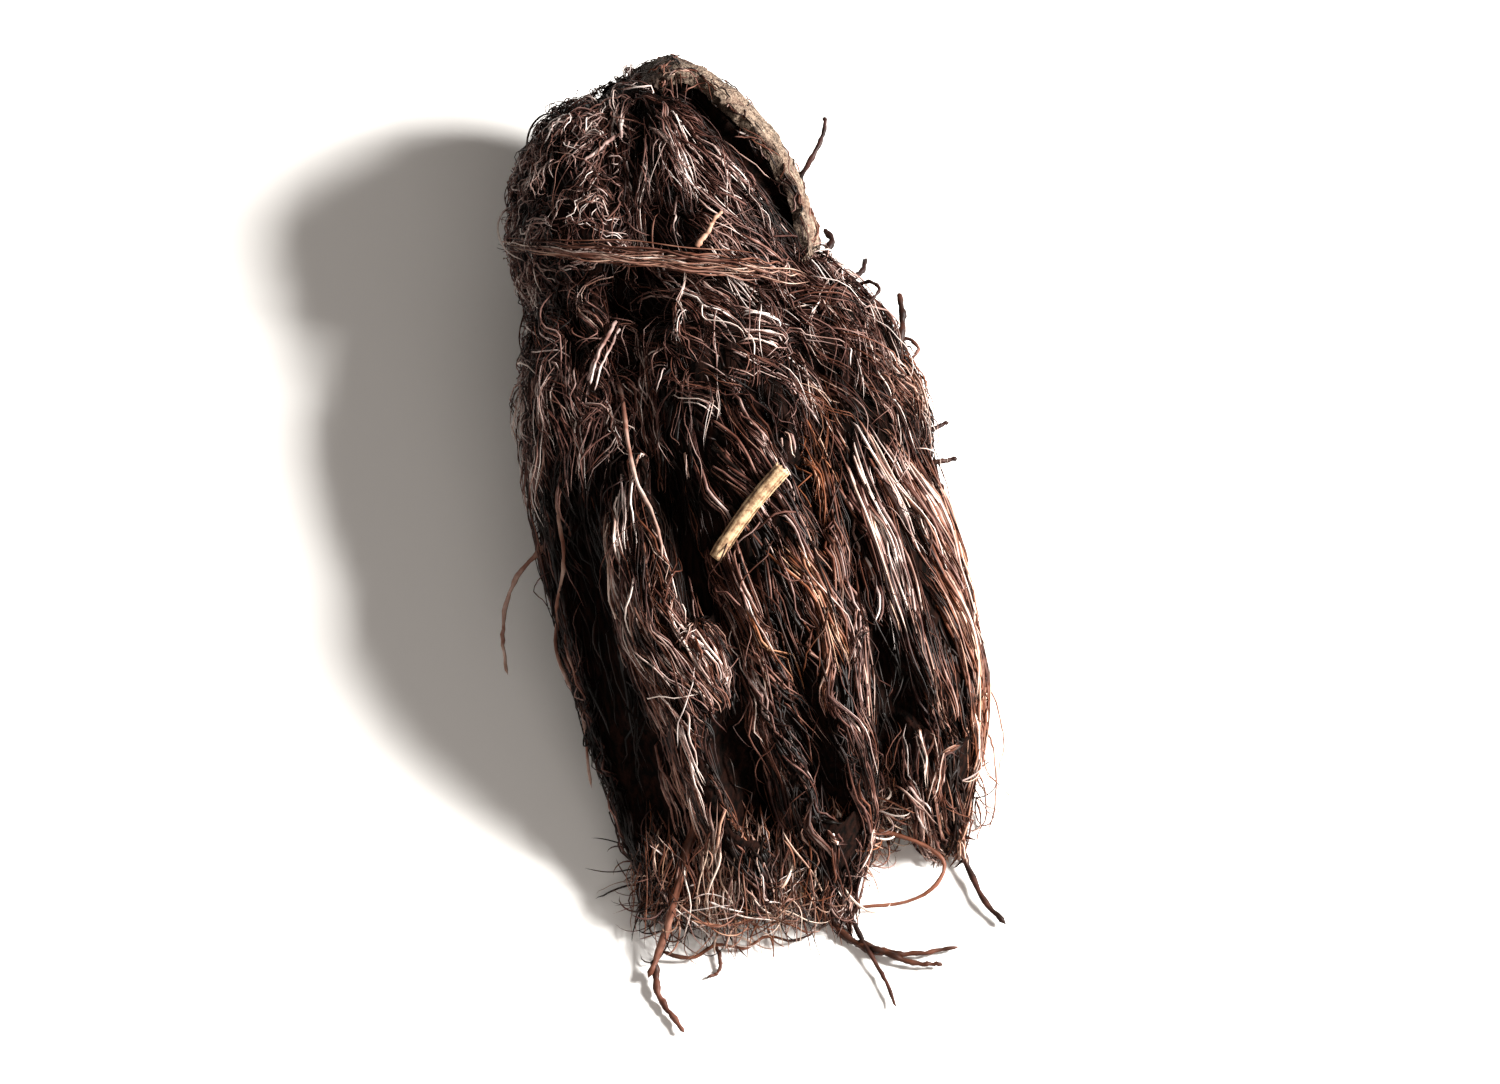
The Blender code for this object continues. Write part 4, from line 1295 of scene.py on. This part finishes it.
    def _broken_bits(self, line: Array, draws: np.random.Generator) -> Array:
        """Lets short fibres wander in the tangle and turn back where they leave it.

        Args:
            line: the tangle's line, as rows of x, y, z and half width.
            draws: the random draws.

        Returns:
            The fibres' paths.
        """
        count = self.broken
        start = self._gather(line, self.broken_lean, count, draws)
        place = start[:, :3].copy()
        place[:, 0] += draws.normal(0, self.scatter, count)
        place[:, 1] += start[:, 3] * draws.uniform(-0.8, 1.0, count)
        place[:, 2] *= draws.uniform(0.1, 1.8, count)
        heading = draws.normal(*self.heading, count)
        bend = draws.normal(0.0, self.bend, count)
        step = draws.beta(1.2, 1.8, count) * (self.length[1] - self.length[0]) + self.length[0]
        step /= self.points - 1
        climb = draws.normal(0.0, self.climb, count)
        path = []
        for _ in range(self.points):
            path.append(place.copy())
            bend = self.bend_kept * bend + draws.normal(0.0, self.bend_gain, count)
            away = place[:, None, :2] - line[None, :, :2]
            far = np.linalg.norm(away, axis=2)
            near = far.argmin(axis=1)
            rows = np.arange(count)
            back = np.arctan2(-away[rows, near, 1], -away[rows, near, 0])
            strayed = np.clip(far[rows, near] / line[near, 3] - self.stray_limit, 0, 1)
            heading = heading + bend + self.homing * strayed * np.sin(back - heading)
            higher = climb + draws.normal(*self.climb_gain, count)
            climb = np.where(place[:, 2] < self.lowest, np.abs(climb), higher)
            place = place + np.stack([np.cos(heading), np.sin(heading), climb], axis=1) * step[:, None]
        return np.stack(path, axis=1)


@dataclass(frozen=True)
class Rootlet:
    """A single stray root: its thickness, its tone and warmth, and knots of x, y and z."""

    radius: float
    tone: float
    warmth: float
    knots: Knots


@dataclass
class StrayRootlets:
    """The stray rootlets and broken twigs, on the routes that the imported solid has."""

    box: tuple[Array, Array]
    material: bpy.types.Material
    points: int = 26
    sides: int = 7
    # A rootlet has a few knuckles, and loses this share of its girth along its length.
    knuckle: float = 0.16
    knuckles: tuple[float, float] = (4, 7)
    thinning: float = 0.45
    wander: float = 0.05
    rootlets: tuple[Rootlet, ...] = (
        Rootlet(0.30, 0.35, 0.4, ((6, -37, 6), (11.5, -38.6, 4.6), (16.5, -39.6, 3.6), (19, -41.4, 2.6),
                                  (18, -43.8, 1.8), (14.5, -45.2, 1.2), (9.5, -45.6, 1.0))),
        Rootlet(0.46, 0.16, 0.1, ((16.5, -31, 6), (19.2, -36, 3.2), (21, -40, 1.4), (22.6, -44, 1.0),
                                  (25.2, -47.4, 0.8))),
        Rootlet(0.50, 0.22, 0.3, ((7, -41, 3.6), (8.2, -47, 1.2), (11.5, -50, 0.9), (14.5, -50.8, 0.9))),
        Rootlet(0.36, 0.24, 0.3, ((10.5, -49.2, 0.9), (15.5, -50.6, 0.8), (20.6, -49.8, 0.7))),
        Rootlet(0.36, 0.22, 0.3, ((11.5, -50.0, 0.9), (15.5, -51.6, 0.8), (19.0, -51.9, 0.7))),
        Rootlet(0.58, 0.42, 0.3, ((-4.5, -37.4, 9.2), (-6.4, -42.6, 6.4), (-8.2, -48.8, 2.8),
                                  (-10, -53.6, 1.2))),
        Rootlet(0.44, 0.26, 0.2, ((-9.4, -51.6, 1.6), (-8.8, -55.4, 0.8), (-6.4, -59.4, 0.7))),
        Rootlet(0.22, 0.30, 0.4, ((-8.8, -50.6, 1.4), (-6.0, -51.2, 0.8), (-3.4, -49.9, 1.1),
                                  (-0.6, -50.0, 0.5), (1.6, -48.8, 0.9), (4.2, -49.2, 0.6),
                                  (6.4, -48.0, 0.5))),
        Rootlet(0.24, 0.24, 0.2, ((-3.6, -49.2, 0.8), (-3.0, -51.8, 0.5), (-4.2, -53.2, 0.4))),
        Rootlet(0.30, 0.20, 0.1, ((8.6, -44, 1.6), (10.8, -48.6, 0.9), (12.8, -52.6, 0.8),
                                  (14.4, -56.6, 0.7))),
        # Broken bits that stand out of the crown's and the shoulder's right edge.
        Rootlet(0.34, 0.22, 0.0, ((3.4, 27, 15), (5.8, 30, 17.5), (7.2, 33, 18.4), (7.4, 35, 18.6))),
        Rootlet(0.40, 0.14, 0.0, ((5.6, 15, 13), (9.4, 18.6, 14), (11.2, 20.4, 13.6), (11.6, 22.2, 12.4))),
        Rootlet(0.50, 0.12, 0.0, ((5.4, 17.6, 14.4), (7.4, 20.4, 15.6), (8.2, 22.6, 15.6),
                                  (7.4, 24.0, 15.2))),
        Rootlet(0.26, 0.30, 0.0, ((9.0, 15.4, 15.6), (11.4, 16.6, 17.0), (12.6, 15.2, 18.0),
                                  (11.6, 13.4, 18.0))),
        Rootlet(0.26, 0.36, 0.1, ((12.4, 9.4, 15.6), (15.4, 11.0, 16.0), (16.8, 9.4, 16.4),
                                  (15.8, 7.6, 16.4))),
        Rootlet(0.50, 0.24, 0.1, ((12, 5, 15), (14.6, 9, 16), (15.2, 12.6, 16.6), (14.8, 15.4, 17))),
        Rootlet(0.36, 0.20, 0.1, ((14.5, -1, 13), (17.6, 1.6, 13.6), (19.8, 2.4, 13.6))),
        Rootlet(0.38, 0.20, 0.1, ((15.5, -4, 14), (18.6, -2.4, 14.2), (20.6, -2, 14))),
        # Long pale strands on the left, one of which curls out over the table.
        Rootlet(0.26, 0.70, 0.2, ((-13.5, 6, 18.5), (-12.5, 0, 21), (-11.6, -8, 22.4), (-9.6, -14, 23.6),
                                  (-8.6, -19, 23.4))),
        Rootlet(0.28, 0.62, 0.3, ((-17, -2, 17), (-19, -8, 17.4), (-18.2, -14, 15.6), (-19.2, -19, 12.6))),
        Rootlet(0.26, 0.66, 0.2, ((-17.6, -14, 13), (-19.4, -21, 10), (-16.8, -28, 8.4), (-15.6, -35, 6))),
        Rootlet(0.30, 0.62, 0.2, ((-19.5, -10, 12), (-23, -13, 9.5), (-24.4, -17, 6.6), (-24, -21, 4))),
        Rootlet(0.32, 0.66, 0.5, ((-5.3, 16.0, 24.8), (-4.0, 17.4, 25.8), (-2.7, 19.3, 26.3))),
        # Pale flakes below the wisp.
        Rootlet(0.20, 0.76, 0.0, ((-13.2, 9.8, 20.8), (-14.2, 7.0, 21.6), (-15.0, 4.6, 21.6),
                                  (-15.8, 2.4, 20.8))),
        Rootlet(0.24, 0.68, 0.0, ((-13.5, 9.2, 20.6), (-14.5, 6.6, 21.5), (-15.2, 4.8, 21.4),
                                  (-16.1, 3.0, 20.6))),
        Rootlet(0.15, 0.82, 0.0, ((-12.9, 9.0, 20.9), (-13.9, 6.2, 21.7), (-14.8, 3.8, 21.6),
                                  (-15.4, 1.8, 20.6))),
        # Thin hairs at the lower right.
        Rootlet(0.12, 0.52, 0.4, ((21.4, -25.0, 6.4), (23.6, -29.0, 4.8), (24.4, -33.0, 2.8),
                                  (23.6, -37.2, 1.2))),
        Rootlet(0.10, 0.46, 0.4, ((20.4, -28.0, 5.4), (22.6, -32.0, 3.6), (23.2, -35.4, 1.9),
                                  (22.4, -38.2, 0.8))),
        Rootlet(0.11, 0.58, 0.4, ((22.4, -21.0, 6.8), (24.4, -25.0, 5.2), (25.0, -28.4, 3.9),
                                  (24.6, -31.6, 2.6))),
        Rootlet(0.10, 0.50, 0.5, ((19.2, -30.0, 5.0), (20.0, -34.0, 3.4), (21.0, -37.4, 1.6),
                                  (20.2, -40.2, 0.7))),
        # Two pale strands between the crown's lobes.
        Rootlet(0.26, 0.78, 0.0, ((-12.6, 33.6, 22.6), (-12.9, 31.0, 24.0), (-12.8, 28.6, 24.8))),
        Rootlet(0.22, 0.74, 0.0, ((-13.0, 29.6, 24.2), (-15.4, 27.4, 24.0), (-17.6, 25.6, 22.6))),
    )

    def build(self) -> bpy.types.Object:
        """Sweeps each rootlet with a knuckled, tapering thickness and small wanderings.

        Returns:
            The piece.
        """
        draws = np.random.default_rng(SEED + 4)
        strands = StrandSet("stray_rootlets", "root_fibre", self.box)
        t = np.linspace(0, 1, self.points)
        for rootlet in self.rootlets:
            path = smooth_route(rootlet.knots, self.points)
            for column in range(3):
                wander = np.cumsum(draws.normal(0, self.wander, self.points))
                path[:, column] += wander - np.linspace(wander[0], wander[-1], self.points)
            turns = math.tau * t * draws.uniform(*self.knuckles) + draws.uniform(0, 6)
            knuckles = 1 + self.knuckle * np.sin(turns)
            radii = rootlet.radius * (1 - self.thinning * t) * knuckles * draws.uniform(0.9, 1.1, self.points)
            strands.add(path[None], radii[None], np.array([rootlet.tone]), np.array([rootlet.warmth]))
        return strands.build(self.material, self.sides)


@dataclass
class BarkHood:
    """The plate of old skin that wraps the back and the right of the crown and ends in a rough rim."""

    dome: Dome
    azimuths: tuple[float, float] = (-34, 128)
    middle_elevations: tuple[float, float] = (11, 33)
    half_heights: tuple[float, float] = (5, 31)
    columns: int = 120
    rows: int = 40
    thickness: float = 1.2
    standoff: float = 0.965
    # Its older end sinks this share deeper, under the crown's fibres, between these shares of its width.
    sink: float = 0.14
    sinking: tuple[float, float] = (0.7, 0.9)
    # How far the rims wave, and how far their tears run in and out, in degrees of the dome.
    rim_wave: float = 3.0
    tear: float = 3.0
    # Lumps are about 1.6 mm across and half a millimetre high, with smaller ones on them.
    lump: float = 1.6
    lump_height: float = 0.5
    rounding: float = 0.45
    # Fibres that lie along the rims, that cover the older end, and that stick to the side.
    rim_fibres: int = 130
    end_fibres: int = 190
    side_fibres: int = 80
    fibre_points: int = 9
    # How many of the rim's fibres lie on its inner and outer rim, and how near to it.
    rim_shares: tuple[float, float] = (0.45, 0.55)
    rim_scatter: float = 0.03
    reach: float = 0.12
    fibre_climb: float = 0.05
    # Past the rim, a fibre dips down to the ones that the crown has, at this slope.
    dip: float = 9.0
    fibre_radius: tuple[float, float] = (0.045, 0.12)
    tone: tuple[float, float] = (0.32, 0.2)
    warmth: tuple[float, float] = (0.15, 0.12)

    def spot(self, across: float, up: float) -> tuple[Array, Array]:
        """Finds a place on the plate.

        Args:
            across: the share of its width, from its right end to its older end.
            up: the share of its height.

        Returns:
            A point on the plate's inside, and the direction outwards there.
        """
        azimuth = np.interp(across, (0, 1), self.azimuths)
        narrow, wide = self.half_heights
        half_height = narrow + (wide - narrow) * abs(math.sin(math.pi * across)) ** 0.8
        torn = noise.fractal(Vector((across * 10, up * 2, 3.0)), 0.9, 2.2, 3)
        torn *= min(abs(2 * up - 1), 1.2) ** 3
        elevation = np.interp(across, (0, 1), self.middle_elevations) + half_height * (2 * up - 1)
        elevation += self.rim_wave * math.sin(13 * across + 3 * up) + self.tear * torn
        a, e = math.radians(azimuth), math.radians(elevation)
        out = np.array((math.cos(a) * math.cos(e), math.sin(a) * math.cos(e), math.sin(e)))
        skin = out * np.array(self.dome.half)
        bulge = noise.fractal(Vector(skin) / self.lump, 0.8, 2.2, 4) * self.lump_height
        sunk = self.sink * np.interp(across, self.sinking, (0, 1))
        return self.dome.placed(skin * (self.standoff - sunk) + out * bulge), out

    def fray(self, box: tuple[Array, Array], material: bpy.types.Material) -> bpy.types.Object:
        """Lays thin fibres along the plate's rims and over its older end.

        Args:
            box: the box that holds them.
            material: the fibres' material.

        Returns:
            The piece.
        """
        draws = np.random.default_rng(SEED + 6)
        count = self.rim_fibres + self.end_fibres + self.side_fibres
        kind = np.repeat((0, 1, 2), (self.rim_fibres, self.end_fibres, self.side_fibres))
        on_rim = kind == 0
        rim = draws.choice((0.0, 1.0), count, p=self.rim_shares) + draws.normal(0.0, self.rim_scatter, count)
        # Each kind has its own stretch of the plate's width.
        start = draws.uniform(np.choose(kind, (0.02, 0.7, 0.05)), np.choose(kind, (0.98, 0.98, 0.7)))
        end = start + draws.uniform(-self.reach, self.reach, count)
        end = np.clip(end, np.where(kind == 1, 0.68, 0.01), 0.99)
        up = np.where(on_rim, rim, draws.uniform(0.0, np.where(kind == 2, 0.6, 1.0)))
        climb = draws.normal(0.0, self.fibre_climb, count) * np.where(on_rim, 1.0, 4.0)
        lift = self.thickness + draws.uniform(-0.2, 0.35, count)
        paths = np.empty((count, self.fibre_points, 3))
        for number in range(count):
            for step, t in enumerate(np.linspace(0, 1, self.fibre_points)):
                height = up[number] + climb[number] * t
                spot, out = self.spot(start[number] + (end[number] - start[number]) * t, height)
                dip = self.dip * max(0.0, abs(2 * height - 1) - 1)
                paths[number, step] = spot + out * (lift[number] - dip)
        t = np.linspace(0, 1, self.fibre_points)[None, :]
        radii = draws.uniform(*self.fibre_radius, count)[:, None] * fibre_taper(t)
        tone, warmth = draws.normal(*self.tone, count), draws.normal(*self.warmth, count)
        strands = StrandSet("hood_fibres", "root_fibre", box)
        strands.add(paths, radii, tone, warmth)
        return strands.build(material)

    def build(self) -> bpy.types.Object:
        """Bends a grid round the dome, gives it lumps and a torn rim, and thickens it.

        Returns:
            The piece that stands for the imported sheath.
        """
        bm = bmesh.new()
        bmesh.ops.create_grid(bm, x_segments=self.columns, y_segments=self.rows, size=0.5)
        rim = bm.verts.layers.float.new("rim")
        for vert in bm.verts:
            across, up = vert.co.x + 0.5, vert.co.y + 0.5
            vert[rim] = max(abs(2 * up - 1), abs(2 * across - 1))
            vert.co = Vector(self.spot(across, up)[0]) * MM
        bmesh.ops.recalc_face_normals(bm, faces=bm.faces)
        face = next(iter(bm.faces))
        outwards = face.normal.dot(face.calc_center_median() - Vector(self.dome.centre) * MM) > 0
        hood = link_mesh("bark_hood", bm)
        wall = hood.modifiers.new("Wall", "SOLIDIFY")
        wall.thickness = self.thickness * MM
        wall.offset = 1.0 if outwards else -1.0
        rounding = hood.modifiers.new("Rim", "BEVEL")
        rounding.width = self.rounding * MM
        rounding.segments = 3
        rounding.limit_method = "ANGLE"
        rounding.angle_limit = math.radians(50)
        hood.data = evaluated_mesh(hood)
        hood.modifiers.clear()
        hood.data.materials.append(BarkFinish().material())
        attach(hood, "root")
        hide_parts("bark_sheath")
        LOG.info("bark hood: %d faces", len(hood.data.polygons))
        return hood


@dataclass
class CutStalk:
    """The short stub of a dry stalk, with a hollow at its broken end."""

    foot: tuple[float, float, float] = (-3.4, -17.4, 21.0)
    end: tuple[float, float, float] = (3.3, -10.4, 26.6)
    radius: float = 0.85
    bore: float = 0.42
    bore_depth: float = 1.2
    sides: int = 28
    rings: int = 34
    # Its foot is this share of its end's girth.
    foot_share: float = 0.86
    # Shares of its girth: the lines along it, its unevenness, and a node near its foot.
    line: float = 0.05
    unevenness: float = 0.07
    node: float = 0.10
    node_place: float = 0.1
    node_reach: float = 0.06
    bow: float = 0.3
    torn: float = 0.25

    def build(self) -> bpy.types.Object:
        """Cuts a cone into rings, gives it lines, swellings and a torn end, and turns it into place.

        Returns:
            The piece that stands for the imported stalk.
        """
        draws = np.random.default_rng(SEED + 5)
        root, end = Vector(self.foot), Vector(self.end)
        length = (end - root).length
        bm = bmesh.new()
        bmesh.ops.create_cone(bm, cap_ends=True, segments=self.sides, radius1=self.radius * self.foot_share,
                              radius2=self.radius, depth=length)
        for ring in range(1, self.rings):
            level = (ring / self.rings - 0.5) * length
            bmesh.ops.bisect_plane(bm, geom=bm.verts[:] + bm.edges[:] + bm.faces[:], plane_co=(0, 0, level),
                                   plane_no=(0, 0, 1))
        top = [face for face in bm.faces if face.normal.z > 0.9]
        bmesh.ops.inset_region(bm, faces=top, thickness=self.radius - self.bore)
        sunk = {vert for face in top for vert in face.verts}
        for vert in sunk:
            vert.co.z -= self.bore_depth
        grooves = draws.uniform(0, 1, self.sides)
        shade = bm.verts.layers.float.new("lines")
        for vert in bm.verts:
            angle = math.atan2(vert.co.y, vert.co.x)
            column = int(round(angle / math.tau * self.sides)) % self.sides
            vert[shade] = grooves[column] if vert not in sunk else 0.0
            along = vert.co.z / length + 0.5
            rough = noise.fractal(Vector((3 * vert.co.x, 3 * vert.co.y, vert.co.z)), 0.7, 2.0, 3)
            node = self.node * math.exp(-((along - self.node_place) / self.node_reach) ** 2)
            swell = 1 + self.line * (grooves[column] - 0.5) + self.unevenness * rough + node
            if vert not in sunk:
                vert.co.x, vert.co.y = vert.co.x * swell, vert.co.y * swell
                if along > 0.97:
                    vert.co.z += self.torn * (grooves[column] - 0.7)
            vert.co.x += self.bow * math.sin(math.pi * along)
        turn = (end - root).to_track_quat("Z", "Y").to_matrix().to_4x4()
        bmesh.ops.transform(bm, matrix=turn, verts=bm.verts)
        bmesh.ops.translate(bm, vec=(root + end) / 2, verts=bm.verts)
        bmesh.ops.scale(bm, vec=(MM, MM, MM), verts=bm.verts)
        bmesh.ops.recalc_face_normals(bm, faces=bm.faces)
        stalk = link_mesh("straw_stalk", bm)
        stalk.data.materials.append(StrawFinish().material())
        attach(stalk, "root")
        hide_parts("cut_stalk")
        LOG.info("straw stalk: %d faces", len(stalk.data.polygons))
        return stalk


@dataclass(frozen=True)
class Lamp:
    """A soft square light that faces the root: its place and size in millimetres, its watts and colour."""

    name: str
    place: tuple[float, float, float]
    size: float
    power: float
    colour: str

    def build(self) -> None:
        """Adds the light to the scene."""
        lamp = bpy.data.lights.new(self.name, "AREA")
        lamp.size = self.size * MM
        lamp.energy = self.power
        lamp.color = linear(self.colour)[:3]
        holder = bpy.data.objects.new(self.name, lamp)
        holder.location = Vector(self.place) * MM
        holder.rotation_euler = (-holder.location).to_track_quat("-Z", "Y").to_euler()
        bpy.context.scene.collection.objects.link(holder)


@dataclass
class Studio:
    """The pale floor, the soft light and the camera at the photograph's angle."""

    # Where the camera looks: x and height in the picture plane.
    aim: tuple[float, float] = (0.0, -3.0)
    distance: float = 1400.0
    sensor: float = 36.0
    clip_start: float = 10.0
    floor_size: float = 1600.0
    floor_colour: str = "#f1efec"
    floor_roughness: float = 0.9
    lamps: tuple[Lamp, ...] = (
        Lamp("key", (300, -20, 235), 100, 6.8, "#fffdfa"),
        Lamp("fill", (-260, -200, 320), 420, 0.2, "#fff8f2"),
        Lamp("front", (60, -330, 260), 260, 0.45, "#fff8f2"),
    )
    sky_colour: str = "#fff6ee"
    sky_strength: float = 0.15

    def build(self) -> None:
        """Makes the floor, the lights, the world and the camera."""
        bm = bmesh.new()
        bmesh.ops.create_grid(bm, x_segments=1, y_segments=1, size=self.floor_size / 2 * MM)
        floor = link_mesh("floor", bm, smooth=False)
        paper, _, shader = new_material("pale_paper_sweep")
        shader.inputs["Base Color"].default_value = linear(self.floor_colour)
        shader.inputs["Roughness"].default_value = self.floor_roughness
        floor.data.materials.append(paper)
        floor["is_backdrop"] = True
        for lamp in self.lamps:
            lamp.build()
        world = bpy.data.worlds.new("studio")
        bpy.context.scene.world = world
        world.use_nodes = True
        sky = world.node_tree.nodes["Background"]
        sky.inputs["Color"].default_value = linear(self.sky_colour)
        sky.inputs["Strength"].default_value = self.sky_strength
        bpy.context.scene.view_settings.view_transform = "Standard"
        lens = bpy.data.cameras.new("camera")
        lens.sensor_width = self.sensor
        lens.lens = self.sensor * self.distance / FRAME_WIDTH
        lens.clip_start = self.clip_start * MM
        camera = bpy.data.objects.new("camera", lens)
        bpy.context.scene.collection.objects.link(camera)
        target = Vector((self.aim[0], self.aim[1] / math.sin(CAMERA_ELEVATION), 0.0))
        camera.location = (target + Vector(TO_CAMERA) * self.distance) * MM
        camera.rotation_euler = (math.pi / 2 - CAMERA_ELEVATION, 0.0, 0.0)
        bpy.context.scene.camera = camera


def main() -> None:
    """Loads the frame, dresses the root and sets the studio round it."""
    logging.basicConfig(level=logging.INFO, format="%(message)s")
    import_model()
    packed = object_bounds()
    low, high = (np.array(corner) / MM for corner in packed)
    margin = (high - low) * BOX_MARGIN
    box = (low - margin, high + margin)
    form = RootForm()
    core = form.build()
    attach(core, "root")
    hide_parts("rootstock")
    LOG.info("core: %d faces", len(core.data.polygons))
    fibre = FibreFinish().material()
    Fleece(form, box, fibre).build(core)
    WaistWisp(box).build()
    FrayedFoot(box, fibre).build()
    StrayRootlets(box, fibre).build()
    hood = BarkHood(form.domes[0])
    hood.build()
    hood.fray(box, fibre)
    CutStalk().build()
    Studio().build()


if __name__ == "__main__":
    main()
